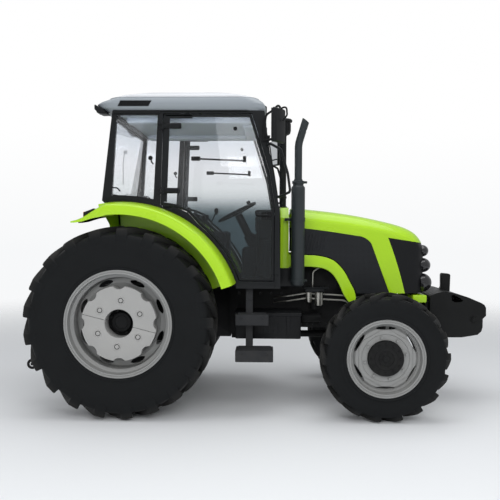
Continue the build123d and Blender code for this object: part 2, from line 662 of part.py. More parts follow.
with BuildPart() as cab_frame:
    for name, side in sides:
        slab(frame_outline, span(side, inside, cab_half))
        slab(door_outline, span(side, inside - 1, cab_half + 1), mode=Mode.SUBTRACT, grow=moving_gap)
        slab(quarter_outline, span(side, inside - 1, cab_half + 1), mode=Mode.SUBTRACT)
        for z in hinge_heights:
            for low in (z - barrel_half - fit_gap - barrel_h, z + barrel_half + fit_gap):
                rod((hinge_pin_x, side * hinge_pin_y, low), (hinge_pin_x, side * hinge_pin_y, low + barrel_h), barrel_r)
                block((hinge_pin_x - 50, hinge_pin_x - 20), span(side, cab_half - 1, hinge_pin_y + 4),
                      (low, low + barrel_h))
                block((hinge_pin_x - 21, hinge_pin_x), span(side, hinge_pin_y - 4, hinge_pin_y + 4),
                      (low, low + barrel_h))
            rod((hinge_pin_x, side * hinge_pin_y, z - barrel_half - 5), (hinge_pin_x, side * hinge_pin_y, z + barrel_half + 5),
                hinge_pin_r)
        # Grab rail bowed out from the front pillar.
        with BuildLine() as rail:
            FilletPolyline([(rear_axle_x + x, side * y, z) for x, y, z in grab_rail], radius=28)
        with BuildSketch(Plane(origin=rail.line @ 0, z_dir=rail.line % 0)):
            Circle(grab_rail_r)
        sweep()
    block((1150, 1200), (-inside - 1, inside + 1), (2575, roof_z))
    block((-88, -30), (-inside - 1, inside + 1), (2565, roof_z))
    block((-178, -130), (-inside - 1, inside + 1), (rear_rail_z - 50, rear_rail_z))
save(cab_frame, "cab_frame")

# columns: height, rear X, front X, half width, corner radius
roof_sections = (
    (roof_z + fit_gap, -130, 1224, 742, 110),
    (2650, -205, 1229, 762, 120),
    (2682, -235, 1220, 770, 130),
    (2720, -160, 1185, 765, 150),
    (2752, -80, 1100, 745, 170),
    (2785, 120, 950, 700, 180),
    (2812, 330, 800, 560, 160),
    (2825, 430, 700, 400, 130),
)
with BuildPart() as roof:
    for z, rear, front, half, corner in roof_sections:
        with BuildSketch(Plane((rear_axle_x + (rear + front) / 2, 0, z))):
            RectangleRounded(front - rear, 2 * half, corner)
    loft(ruled=True)
save(roof, "roof")

screen_outer = [(1207, 2574), (1264, 2212), (1340, 1800)]
pane_half = inside - fit_gap
with BuildPart() as windows:
    slab(screen_outer + [(x - glass_t, z) for x, z in reversed(screen_outer)], (-pane_half, pane_half))
    slab([(-90, 2564), (-178, rear_rail_z + 1), (-172, rear_rail_z + 1), (-84, 2564)], (-pane_half, pane_half))
    for name, side in sides:
        slab(quarter_outline, span(side, cab_half - 30, cab_half - 30 + glass_t), grow=-fit_gap)
save(windows, "cab_windows")

tub_half = fender_inner_y - fit_gap
floor_half = inside - fit_gap
with BuildPart() as cab_floor:
    block((sill_x + 2, 1352), (-floor_half, floor_half), (floor_z, sill_z))
    block((250, sill_x + 3), (-tub_half, tub_half), (floor_z, sill_z))
    block((-170, 250), (-tub_half, tub_half), (1300, 1340))
    block((249, 280), (-tub_half, tub_half), (floor_z, 1340))
    block((-170, -140), (-tub_half, tub_half), (1300, rear_rail_z - 51))
    block((1316, 1340), (-floor_half, floor_half), (floor_z, 1795))
    for y in (-160, 160):
        rod((-100, y, 1085 + fit_gap), (-100, y, 1301), 40)
        rod((1150, y, 1090 + fit_gap), (1150, y, floor_z + 1), 40)
save(cab_floor, "cab_floor")

door_t = 30
door_face = cab_half - 4
door_rim = 36
strap_length = 120


def door_rear_edge(z):
    """X of the door's edge along the centre pillar."""
    return 340 + (372 - 340) * (z - waist_z) / (2596 - waist_z)


for name, side in sides:
    with BuildPart() as door:
        slab(door_outline, span(side, door_face - door_t, door_face))
        slab(door_outline, span(side, door_face - door_t - 1, door_face + 1), mode=Mode.SUBTRACT, grow=-door_rim)
        for z in hinge_heights:
            rod((hinge_pin_x, side * hinge_pin_y, z - barrel_half), (hinge_pin_x, side * hinge_pin_y, z + barrel_half), barrel_r)
            strap_x = door_rear_edge(z) + 12
            block((hinge_pin_x, strap_x + 1), span(side, hinge_pin_y - 4, hinge_pin_y + 4),
                  (z - barrel_half, z + barrel_half))
            block((strap_x, strap_x + strap_length), span(side, door_face - 1, hinge_pin_y + 4),
                  (z - barrel_half, z + barrel_half))
            rod((hinge_pin_x, side * hinge_pin_y, z - barrel_half - 1), (hinge_pin_x, side * hinge_pin_y, z + barrel_half + 1),
                hinge_pin_r + running_gap, mode=Mode.SUBTRACT)
    save(door, f"door_{name}")
    with BuildPart() as pane:
        slab(door_outline, span(side, door_face - 20, door_face - 20 + glass_t), grow=-door_rim - fit_gap)
    save(pane, f"door_glass_{name}")

# ---- fenders --------------------------------------------------------------------------------
# The crown follows the tyre as far as the rear pillar, and drops outside it to a tail.
crest = on_circle(fender_outer_r, fender_end - 1)
tail_top = [(crest[0] - 195, crest[1] - 128), (crest[0] - 287, crest[1] - 162)]


def tail_z(x):
    """Height just clear of the fender's tail behind its crest."""
    slope = (crest[1] - tail_top[0][1]) / (crest[0] - tail_top[0][0])
    return crest[1] + slope * (x - crest[0]) + 2 * fit_gap


with BuildPart() as fenders:
    for name, side in sides:
        ridge = cab_half + 10
        loop = [(fender_inner_y, fender_wall_r), (fender_inner_y, fender_crown_r), (ridge, fender_crown_r),
                (fender_outer_y, fender_outer_r), (fender_outer_y, fender_lip_r),
                (fender_outer_y - fender_t, fender_lip_r), (fender_outer_y - fender_t, fender_outer_r - fender_t),
                (ridge, fender_crown_r - fender_t), (fender_inner_y + fender_t, fender_crown_r - fender_t),
                (fender_inner_y + fender_t, fender_wall_r)]
        turned([(side * y, r) for y, r in loop], rear_axle_x, rear_axle_z, start=fender_start,
               arc=fender_end - fender_start)
        inner_loop = [(fender_inner_y, fender_wall_r), (fender_inner_y, fender_crown_r), (ridge, fender_crown_r),
                      (ridge, fender_lip_r), (ridge - fender_t, fender_lip_r), (ridge - fender_t, fender_crown_r - fender_t),
                      (fender_inner_y + fender_t, fender_crown_r - fender_t), (fender_inner_y + fender_t, fender_wall_r)]
        turned([(side * y, r) for y, r in inner_loop], rear_axle_x, rear_axle_z, start=fender_end - 1, arc=6)
        lip_foot = on_circle(fender_lip_r, fender_end - 1)
        slab([crest] + tail_top + [(tail_top[1][0] + 6, tail_top[1][1] - 10),
                                   (tail_top[0][0], tail_top[0][1] - 22), lip_foot],
             span(side, fender_outer_y - fender_t, fender_outer_y))
        slab([crest] + tail_top + [(x, z - fender_t - 2) for x, z in reversed([crest] + tail_top)],
             span(side, ridge - fender_t, fender_outer_y))
save(fenders, "fenders")

with BuildPart() as tail_lamps:
    for name, side in sides:
        slab([(-292, tail_z(-292)), (-292, fender_top_z - 85), (-200, fender_top_z - 50), (-200, tail_z(-200))],
             span(side, 860, 950))
save(tail_lamps, "tail_lamps")

# ---- inside the cab -------------------------------------------------------------------------
with BuildPart() as seat:
    block((150, 650), (-250, 250), (1480, 1600))
    bar((150, 0, 1520), (60, 0, 2130), 460, 110)
    block((320, 580), (-180, 180), (sill_z + fit_gap, 1481))
save(seat, "seat")

column_top = (960, 0, 1760)
column_base = (1200, 0, 1290)
with BuildPart() as console:
    block((1140, 1316 - fit_gap), (-200, 200), (sill_z + fit_gap, 1700))
    rod(column_base, column_top, 40)
save(console, "dash_console")

with BuildPart() as steering_wheel:
    along = (Vector(*column_top) - Vector(*column_base)).normalized()
    centre = Vector(rear_axle_x, 0, 0) + Vector(*column_top) + along * (25 + fit_gap)
    with BuildSketch(Plane(origin=centre - along * 25, z_dir=along)):
        Circle(45)
    extrude(amount=40)
    with Locations(Plane(origin=centre, z_dir=along, x_dir=(0, 1, 0))):
        Torus(190, 14)
        with PolarLocations(110, 3, start_angle=90):
            Box(160, 30, 10)
save(steering_wheel, "steering_wheel")

# ---- steps, tank and battery box ------------------------------------------------------------
with BuildPart() as battery_box:
    block((962, 1545), (-600, -engine_half - fit_gap), (645, 870))
save(battery_box, "battery_box")

with BuildPart() as fuel_tank:
    block((900, 1560), (engine_half + fit_gap, 600), (600, 930))
save(fuel_tank, "fuel_tank")

# Folded treads open underneath, columns: X range, outer Y, Z range
step_boxes = (((975, 1298), 880, (490, 590)), ((972, 1258), 790, (790, 885)))
step_near = 655
plate_t = 12
with BuildPart() as steps:
    for name, side in sides:
        for x_range, y_far, z_range in step_boxes:
            near, far = step_near, y_far
            block(x_range, span(side, near, far), z_range)
            block((x_range[0] + plate_t, x_range[1] - plate_t), span(side, near + plate_t, far - plate_t),
                  (z_range[0] - 1, z_range[1] - plate_t), mode=Mode.SUBTRACT)
        block((1058, 1120), span(side, 600 + fit_gap, 680), (490, floor_z - fit_gap))
save(steps, "steps")

# ---- mirrors --------------------------------------------------------------------------------
with BuildPart() as mirrors:
    for name, side in sides:
        block((1290, 1320), span(side, 880, 1060), (2350, 2580))
        block((1190, 1234), span(side, cab_half + fit_gap, cab_half + 9), (2365, 2435))
        rod((1212, side * (cab_half + 5), 2400), (1305, side * 905, 2440), 9)
save(mirrors, "mirrors")

# ---- front weights --------------------------------------------------------------------------
weight_count = 10
weight_pitch = 72
weight_outline = [(support_front + carrier_t + fit_gap, 863), (support_front + carrier_t + fit_gap, 1012),
                  (608, 1052), (704, 1044), (847, 1003), (968, 952), (1010, 909),
                  (1012, 834), (983, 806), (983, 730), (973, 692), (939, 659), (795, 634), (664, 633), (560, 700)]
tow_pin_x = 900
with BuildPart() as front_weights:
    for index in range(weight_count):
        y = (index - (weight_count - 1) / 2) * weight_pitch
        slab(weight_outline, (y - weight_pitch / 2 + 0.3, y + weight_pitch / 2 - 0.3), front_axle_x)
        slab([(700, 1012), (790, 985), (850, 955), (760, 930), (690, 960)],
             (y - weight_pitch / 2, y + weight_pitch / 2), front_axle_x, mode=Mode.SUBTRACT)
    rod((tow_pin_x, 0, 960), (tow_pin_x, 0, 1195), 16, front_axle_x)
    rod((tow_pin_x, -48, 1195), (tow_pin_x, 48, 1195), 10, front_axle_x)
save(front_weights, "front_weights")

# ---- rear hitch -----------------------------------------------------------------------------
with BuildPart() as lower_links:
    for side in (-1, 1):
        start = (link_pivot[0], side * link_pivot[1], link_pivot[2])
        end = (link_end[0], side * link_end[1], link_end[2])
        bar(start, end, 28, 70)
        rod((start[0], start[1] - 20, start[2]), (start[0], start[1] + 20, start[2]), 40)
        rod((end[0], end[1] - 22, end[2]), (end[0], end[1] + 22, end[2]), 48)
        rod((start[0], start[1] - 30, start[2]), (start[0], start[1] + 30, start[2]), link_pin_r + running_gap,
            mode=Mode.SUBTRACT)
        rod((end[0], end[1] - 30, end[2]), (end[0], end[1] + 30, end[2]), 14.5, mode=Mode.SUBTRACT)
save(lower_links, "lower_links")

lift_end = (lift_shaft[0] - lift_arm_length * cos(radians(lift_arm_drop)),
            lift_shaft[1] - lift_arm_length * sin(radians(lift_arm_drop)))
with BuildPart() as lift_arms:
    rod((lift_shaft[0], -lift_arm_y - lift_arm_t, lift_shaft[1]), (lift_shaft[0], lift_arm_y + lift_arm_t, lift_shaft[1]),
        lift_shaft_r)
    for side in (-1, 1):
        middle = side * (lift_arm_y + lift_arm_t / 2)
        bar((lift_shaft[0], middle, lift_shaft[1]), (lift_end[0], middle, lift_end[1]), lift_arm_t, 60)
        rod((lift_shaft[0], side * lift_arm_y, lift_shaft[1]), (lift_shaft[0], side * (lift_arm_y + lift_arm_t), lift_shaft[1]), 55)
        rod((lift_end[0], side * lift_arm_y, lift_end[1]), (lift_end[0], side * (lift_rod_y + 22), lift_end[1]), 12)
save(lift_arms, "lift_arms")

lift_rod_foot = 440
with BuildPart() as lift_rods:
    for side in (-1, 1):
        y = side * (lift_rod_y + 2)
        rod((lift_end[0], y, lift_end[1] - 15), (lift_end[0] - 12, y, lift_rod_foot), lift_rod_r)
        rod((lift_end[0], y - 11, lift_end[1]), (lift_end[0], y + 11, lift_end[1]), 26)
        rod((lift_end[0] - 12, y - 11, lift_rod_foot), (lift_end[0] - 12, y + 11, lift_rod_foot), 24)
        rod((lift_end[0], y - 12, lift_end[1]), (lift_end[0], y + 12, lift_end[1]), 12 + running_gap,
            mode=Mode.SUBTRACT)
save(lift_rods, "lift_rods")

with BuildPart() as drawbar:
    block((drawbar_end, 30), (-drawbar_half, drawbar_half), (drawbar_z - drawbar_t / 2, drawbar_z + drawbar_t / 2))
    rod((drawbar_end + 45, 0, drawbar_z - drawbar_t), (drawbar_end + 45, 0, drawbar_z + drawbar_t), drawbar_hole_r,
        mode=Mode.SUBTRACT)
save(drawbar, "drawbar")
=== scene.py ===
"""Looks of a four-wheel drive farm tractor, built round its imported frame.

Metres, in the frame's own axes: X forward, Y to the tractor's left, Z up from the ground.
"""
from math import cos, pi, radians, sin, sqrt
import bmesh
import bpy
from mathutils import Matrix, Vector


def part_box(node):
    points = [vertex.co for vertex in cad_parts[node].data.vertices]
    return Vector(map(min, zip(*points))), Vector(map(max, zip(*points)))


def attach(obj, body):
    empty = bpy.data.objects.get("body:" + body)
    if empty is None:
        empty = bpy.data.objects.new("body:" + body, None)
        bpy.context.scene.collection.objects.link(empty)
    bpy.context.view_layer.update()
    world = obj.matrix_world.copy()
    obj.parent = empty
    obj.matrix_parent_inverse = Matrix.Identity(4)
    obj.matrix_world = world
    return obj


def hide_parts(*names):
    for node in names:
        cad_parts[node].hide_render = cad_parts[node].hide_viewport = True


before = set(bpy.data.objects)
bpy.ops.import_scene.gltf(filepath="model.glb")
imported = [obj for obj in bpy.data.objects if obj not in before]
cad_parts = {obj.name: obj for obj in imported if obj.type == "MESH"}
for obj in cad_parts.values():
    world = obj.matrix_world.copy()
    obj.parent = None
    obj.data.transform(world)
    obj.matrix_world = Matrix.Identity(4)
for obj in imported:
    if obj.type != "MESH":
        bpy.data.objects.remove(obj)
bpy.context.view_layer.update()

bl_info = {
    "name": "Farm tractor",
    "version": (1, 0, 0),
    "blender": (4, 5, 0),
    "location": "View3D > Sidebar > Tractor",
    "description": "Finishes the packed frame of a farm tractor and sets its studio",
    "category": "Object",
}

# ---- places read from the frame ---------------------------------------------------------------
def middle(node):
    low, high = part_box(node)
    return (Vector(low) + Vector(high)) / 2


def size(node):
    low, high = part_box(node)
    return Vector(high) - Vector(low)


REAR = middle("tyre_rear_right")
FRONT = middle("tyre_front_right")
REAR_R = size("tyre_rear_right").z / 2
FRONT_R = size("tyre_front_right").z / 2
REAR_X = REAR.x
SIDES = (("right", -1), ("left", 1))
AXES = {"X": (1, 0, 0), "-X": (-1, 0, 0), "Y": (0, 1, 0), "-Y": (0, -1, 0), "Z": (0, 0, 1)}
MERGE = 2e-5  # points nearer than this are one


# ---- settings ---------------------------------------------------------------------------------
class TyreSettings(bpy.types.PropertyGroup):
    rear_lugs: bpy.props.IntProperty(name="Rear lugs", description="Lugs on each half of a rear tyre", default=21)
    front_lugs: bpy.props.IntProperty(name="Front lugs", description="Lugs on each half of a front tyre", default=18)
    rear_depth: bpy.props.FloatProperty(name="Rear lug depth", description="Height of a rear lug at the shoulder",
                                        default=0.044, unit="LENGTH")
    front_depth: bpy.props.FloatProperty(name="Front lug depth", description="Height of a front lug at the shoulder",
                                         default=0.036, unit="LENGTH")


class FinishSettings(bpy.types.PropertyGroup):
    green: bpy.props.FloatVectorProperty(name="Paint", description="Colour of the painted panels",
                                         default=(0.330, 0.565, 0.012), subtype="COLOR", size=3)
    wheel: bpy.props.FloatVectorProperty(name="Wheels", description="Colour of the rims",
                                         default=(0.265, 0.268, 0.265), subtype="COLOR", size=3)
    roof: bpy.props.FloatVectorProperty(name="Roof", description="Colour of the cab roof",
                                        default=(0.49, 0.505, 0.53), subtype="COLOR", size=3)


class StudioSettings(bpy.types.PropertyGroup):
    eye: bpy.props.FloatVectorProperty(name="Eye", description="Place of the camera",
                                       default=(0.099, -6.415, 1.60), subtype="TRANSLATION", size=3)
    yaw: bpy.props.FloatProperty(name="Yaw", description="Turn of the camera from straight across",
                                 default=radians(-1.55), subtype="ANGLE")
    pitch: bpy.props.FloatProperty(name="Pitch", description="Camera's downward tilt",
                                   default=radians(3.15), subtype="ANGLE")
    roll: bpy.props.FloatProperty(name="Roll", description="Camera's roll", default=radians(0.2), subtype="ANGLE")
    lens: bpy.props.FloatProperty(name="Lens", description="Focal length on a 36 mm sensor", default=47.5)
    rise: bpy.props.FloatProperty(name="Rise", description="Camera's vertical shift", default=0.035)
    daylight: bpy.props.FloatProperty(name="Daylight", description="Strength of the even light", default=0.56)


# ---- modelling helpers ------------------------------------------------------------------------
def object_mode():
    if bpy.context.mode != "OBJECT":
        bpy.ops.object.mode_set(mode="OBJECT")


def leave_all():
    object_mode()
    bpy.ops.object.select_all(action="DESELECT")


def only(piece):
    leave_all()
    piece.hide_set(False)
    piece.select_set(True)
    bpy.context.view_layer.objects.active = piece


def edit(piece):
    only(piece)
    bpy.ops.object.mode_set(mode="EDIT")
    bpy.ops.mesh.select_all(action="SELECT")


def settle(name):
    """Leaves edit mode with the shape's own place in its mesh."""
    object_mode()
    piece = bpy.context.active_object
    bpy.ops.object.transform_apply(location=True, rotation=True, scale=True)
    piece.name = piece.data.name = name
    return piece


def draw(points):
    """Chain of edges through the points, extruded on from a plane merged to its middle."""
    leave_all()
    bpy.ops.mesh.primitive_plane_add(size=0.01, location=points[0])
    bpy.ops.object.transform_apply(location=True)
    bpy.ops.object.mode_set(mode="EDIT")
    bpy.ops.mesh.select_all(action="SELECT")
    bpy.ops.mesh.merge(type="CENTER")
    for here, there in zip(points, points[1:]):
        step = Vector(there) - Vector(here)
        bpy.ops.mesh.extrude_vertices_move(TRANSFORM_OT_translate={"value": step})
    bpy.ops.mesh.select_all(action="SELECT")


def outward():
    bpy.ops.mesh.select_all(action="SELECT")
    bpy.ops.mesh.remove_doubles(threshold=MERGE)
    bpy.ops.mesh.normals_make_consistent(inside=False)


def turned(name, profile, centre, steps=72, axle="Y"):
    """Shape spun about a Y or Z axle from its closed outline of (distance along it, radius)."""
    cx, cy, cz = centre
    points = [(cx + r, cy, along) if axle == "Z" else (cx, along, cz + r) for along, r in profile]
    draw(points + points[:1])
    bpy.ops.mesh.spin(steps=steps, angle=2 * pi, center=centre, axis=AXES[axle])
    outward()
    return settle(name)


def plate(name, outline, near, far):
    """Plate with a side outline of (X, Z) points, between two Y values in either order."""
    low, high = sorted((near, far))
    draw([(x, low, z) for x, z in outline])
    bpy.ops.mesh.edge_face_add()
    bpy.ops.mesh.extrude_region_move(TRANSFORM_OT_translate={"value": (0, high - low, 0)})
    outward()
    return settle(name)


def box(name, low, high, edge=0.004, segments=2):
    """Block between two opposite corners, in any order."""
    leave_all()
    low, high = Vector(map(min, low, high)), Vector(map(max, low, high))
    bpy.ops.mesh.primitive_cube_add(size=1, location=(low + high) / 2, scale=high - low)
    piece = settle(name)
    return soften(piece, edge, segments) if edge else piece


def rod(name, start, end, radius, tip=None, sides=28, edge=0.0):
    """Round bar or cone between two points."""
    leave_all()
    start, end = Vector(start), Vector(end)
    along = end - start
    bpy.ops.mesh.primitive_cone_add(vertices=sides, radius1=radius, radius2=radius if tip is None else tip,
                                    depth=along.length, location=(start + end) / 2,
                                    rotation=along.to_track_quat("Z", "Y").to_euler())
    piece = settle(name)
    return soften(piece, edge, 2) if edge else piece


def rounded(points, radius, steps=6):
    """The points with each corner replaced by an arc."""
    points = [Vector(p) for p in points]
    path = [points[0]]
    for before, corner, after in zip(points, points[1:], points[2:]):
        a, b = (before - corner), (after - corner)
        half = a.angle(b) / 2
        back = min(radius / max(sin(half) / cos(half), 1e-4), a.length * 0.49, b.length * 0.49)
        a, b = corner + a.normalized() * back, corner + b.normalized() * back
        for k in range(steps + 1):
            t = k / steps
            path.append(a * (1 - t) ** 2 + corner * 2 * t * (1 - t) + b * t * t)
    return path + [points[-1]]


def pipe(name, points, radius, corner=0.05, sides=3):
    """Round tube along the points, with its ends capped."""
    leave_all()
    bpy.ops.curve.primitive_nurbs_path_add()
    curve = bpy.context.active_object
    curve.location = (0, 0, 0)
    data = curve.data
    data.splines.clear()
    path = rounded(points, corner)
    line = data.splines.new("POLY")
    line.points.add(len(path) - 1)
    for place, spot in zip(line.points, path):
        place.co = (*spot, 1)
    data.bevel_depth = radius
    data.bevel_resolution = sides
    data.use_fill_caps = True
    bpy.ops.object.convert(target="MESH")
    edit(bpy.context.active_object)
    outward()
    return settle(name)


def modified(piece, kind, **values):
    only(piece)
    bpy.ops.object.modifier_add(type=kind)
    modifier = piece.modifiers[-1]
    for key, value in values.items():
        setattr(modifier, key, value)
    bpy.ops.object.modifier_apply(modifier=modifier.name)
    return piece


def soften(piece, width, segments=2, angle=32):
    return modified(piece, "BEVEL", width=width, segments=segments, limit_method="ANGLE",
                    angle_limit=radians(angle), harden_normals=False, use_clamp_overlap=True)


def cut(piece, cutter, operation="DIFFERENCE"):
    modified(piece, "BOOLEAN", object=cutter, operation=operation, solver="EXACT")
    bpy.data.objects.remove(cutter)
    return piece


def copied(piece, name, matrix=Matrix()):
    """Copy with its own mesh, moved by the matrix."""
    other = piece.copy()
    other.data = piece.data.copy()
    other.name = other.data.name = name
    bpy.context.scene.collection.objects.link(other)
    other.data.transform(matrix)
    if matrix.determinant() < 0:
        other.data.flip_normals()
    return other


def joined(name, pieces):
    leave_all()
    for piece in pieces:
        piece.select_set(True)
    bpy.context.view_layer.objects.active = pieces[0]
    if len(pieces) > 1:
        bpy.ops.object.join()
    piece = bpy.context.active_object
    piece.name = piece.data.name = name
    return piece


def about(centre, angle, axis="Y"):
    """Turn by an angle about an axle through the centre."""
    return Matrix.Translation(centre) @ Matrix.Rotation(angle, 4, axis) @ Matrix.Translation(-Vector(centre))


def ring_of(piece, count, centre, axis="Y", first=0.0, arc=2 * pi):
    """The piece and its copies round an axle, joined."""
    parts = [copied(piece, piece.name, about(centre, first + arc * k / count, axis)) for k in range(count)]
    bpy.data.objects.remove(piece)
    return joined(parts[0].name, parts)


MIRROR = Matrix.Scale(-1, 4, (0, 1, 0))


def mirrored(piece, name):
    return copied(piece, name, MIRROR)


def lofted(name, loops, closed=True):
    """Shape through rows with as many points each, extruded from one to the next; open rows make a skin."""
    draw(loops[0])
    if closed:
        bpy.ops.mesh.edge_face_add()
    piece = bpy.context.active_object
    here = [Vector(p) for p in loops[0]]
    for there in loops[1:]:
        bpy.ops.mesh.extrude_region_move()
        mesh = bmesh.from_edit_mesh(piece.data)
        for vertex in mesh.verts:
            if vertex.select:
                nearest = min(range(len(here)), key=lambda k: (here[k] - vertex.co).length_squared)
                vertex.co = there[nearest]
        bmesh.update_edit_mesh(piece.data)
        here = [Vector(p) for p in there]
    outward()
    return settle(name)


def eased(node, width=0.003, angle=32, name=None):
    """Copy of a CAD node with its triangles merged and its edges rounded, standing for the node."""
    piece = copied(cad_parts[node], name or f"{node}_body")
    piece.parent = None
    for key in list(piece.keys()):
        del piece[key]
    only(piece)
    bpy.ops.mesh.customdata_custom_splitnormals_clear()
    edit(piece)
    bpy.ops.mesh.remove_doubles(threshold=MERGE)
    bpy.ops.mesh.dissolve_limited(angle_limit=radians(1.0))
    settle(piece.name)
    if width:
        soften(piece, width, 2, angle)
    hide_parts(node)
    return piece


def dress(piece, body, material, angle=35):
    """Gives a finished piece its material and its body."""
    only(piece)
    bpy.ops.object.shade_smooth_by_angle(angle=radians(angle))
    piece.data.materials.clear()
    piece.data.materials.append(material_of(material))
    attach(piece, body)
    return piece


def made(name, parts, body, material, node=None, angle=35):
    """One dressed piece joined from its parts, standing for a node of the frame if one is given."""
    piece = joined(name, parts)
    if node:
        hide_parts(node)
    return dress(piece, body, material, angle)


# ---- materials --------------------------------------------------------------------------------
def add_node(tree, kind, settings=None, **inputs):
    """Node with its settings and its inputs, a value or another node's output for each."""
    made = tree.nodes.new(kind)
    for key, value in (settings or {}).items():
        setattr(made, key, value)
    for key, value in inputs.items():
        socket = made.inputs[int(key[1:])] if key[0] == "_" else made.inputs[key.replace("_", " ")]
        if isinstance(value, bpy.types.NodeSocket):
            tree.links.new(value, socket)
        else:
            socket.default_value = value
    return made


def new_group(name, sockets_in, sockets_out):
    """Empty shader group with float inputs and the outputs named, and its two end nodes."""
    group = bpy.data.node_groups.new(name, "ShaderNodeTree")
    for label, default in sockets_in:
        socket = group.interface.new_socket(label, in_out="INPUT", socket_type="NodeSocketFloat")
        socket.default_value = default
    for label in sockets_out:
        group.interface.new_socket(label, in_out="OUTPUT", socket_type="NodeSocketFloat")
    return group, group.nodes.new("NodeGroupInput"), group.nodes.new("NodeGroupOutput")


def grain_group():
    """Fine and broad unevenness of a surface: Fine for bump, Broad for colour and roughness."""
    if "Grain" in bpy.data.node_groups:
        return bpy.data.node_groups["Grain"]
    group, given, result = new_group("Grain", [("Fine scale", 400.0), ("Broad scale", 6.0)], ["Fine", "Broad"])
    place = object_place(group)
    fine = add_node(group, "ShaderNodeTexNoise", Vector=place, Scale=given.outputs[0], Detail=3.0, Roughness=0.6)
    broad = add_node(group, "ShaderNodeTexNoise", Vector=place, Scale=given.outputs[1], Detail=5.0, Roughness=0.55)
    group.links.new(fine.outputs["Fac"], result.inputs[0])
    group.links.new(broad.outputs["Fac"], result.inputs[1])
    return group


def dust_group():
    """Mask of dust that settles low down, in patches."""
    if "Dust" in bpy.data.node_groups:
        return bpy.data.node_groups["Dust"]
    group, given, result = new_group("Dust", [("Height", 1.1), ("Amount", 0.3)], ["Mask"])
    place = object_place(group)
    high = add_node(group, "ShaderNodeSeparateXYZ", Vector=place).outputs["Z"]
    low = add_node(group, "ShaderNodeMapRange", {"clamp": True}, Value=high, From_Min=given.outputs[0], From_Max=0.0)
    patches = add_node(group, "ShaderNodeTexNoise", Vector=place, Scale=9.0, Detail=8.0, Roughness=0.7)
    spread = add_node(group, "ShaderNodeMapRange", {"clamp": True}, Value=patches.outputs["Fac"],
                      From_Min=0.35, From_Max=0.75)
    both = add_node(group, "ShaderNodeMath", {"operation": "MULTIPLY"}, _0=low.outputs[0], _1=spread.outputs[0])
    share = add_node(group, "ShaderNodeMath", {"operation": "MULTIPLY"}, _0=both.outputs[0], _1=given.outputs[1])
    group.links.new(share.outputs[0], result.inputs[0])
    return group


def mixed(tree, factor, first, second):
    """Mix of two colours, each a value or another node's output."""
    made = add_node(tree, "ShaderNodeMix", {"data_type": "RGBA"}, Factor=factor)
    for socket, value in ((made.inputs[6], first), (made.inputs[7], second)):
        if isinstance(value, bpy.types.NodeSocket):
            tree.links.new(value, socket)
        else:
            socket.default_value = (*value, 1)
    return made.outputs[2]


def new_material(name):
    """New material for a finish, its tree and its Principled shader."""
    material = bpy.data.materials.new(f"{name}_finish")
    material.use_nodes = True
    tree = material.node_tree
    return material, tree, tree.nodes["Principled BSDF"]


def object_place(tree):
    """Output of the object's own coordinates."""
    return add_node(tree, "ShaderNodeTexCoord").outputs["Object"]


def over_base(tree, share, colour):
    """Lays a colour over the finish's own, by a share."""
    base = tree.nodes["Principled BSDF"].inputs["Base Color"]
    tree.links.new(mixed(tree, share, base.links[0].from_socket, colour), base)


def relief_of(tree, height, strength, depth, **settings):
    """Bump of the surface from a height."""
    relief = add_node(tree, "ShaderNodeBump", settings, Strength=strength, Distance=depth, Height=height)
    tree.links.new(relief.outputs[0], tree.nodes["Principled BSDF"].inputs["Normal"])


DUST = (0.23, 0.21, 0.18)


def surface(name, colour, roughness=0.5, fine=400.0, broad=6.0, bump=0.1, depth=0.001, vary=0.12, spread=0.12,
            dust=0.0, dust_height=1.1, **plain):
    """Principled finish with uneven colour and gloss, fine bump and settled dust."""
    material, tree, shader = new_material(name)
    grain = add_node(tree, "ShaderNodeGroup", {"node_tree": grain_group()})
    grain.inputs["Fine scale"].default_value = fine
    grain.inputs["Broad scale"].default_value = broad
    deep = [c * (1 - vary) for c in colour]
    pale = [min(1.0, c * (1 + vary)) for c in colour]
    tint = mixed(tree, grain.outputs["Broad"], deep, pale)
    rough = add_node(tree, "ShaderNodeMapRange", Value=grain.outputs["Broad"], From_Min=0.3, From_Max=0.7,
                     To_Min=roughness - spread / 2, To_Max=roughness + spread / 2).outputs[0]
    if dust:
        layer = add_node(tree, "ShaderNodeGroup", {"node_tree": dust_group()})
        layer.inputs["Height"].default_value = dust_height
        layer.inputs["Amount"].default_value = dust
        tint = mixed(tree, layer.outputs[0], tint, DUST)
        rough = add_node(tree, "ShaderNodeMath", {"operation": "ADD"}, _0=rough, _1=layer.outputs[0]).outputs[0]
    tree.links.new(tint, shader.inputs["Base Color"])
    tree.links.new(rough, shader.inputs["Roughness"])
    relief_of(tree, grain.outputs["Fine"], bump, depth)
    for key, value in plain.items():
        shader.inputs[key.replace("_", " ")].default_value = value
    return material


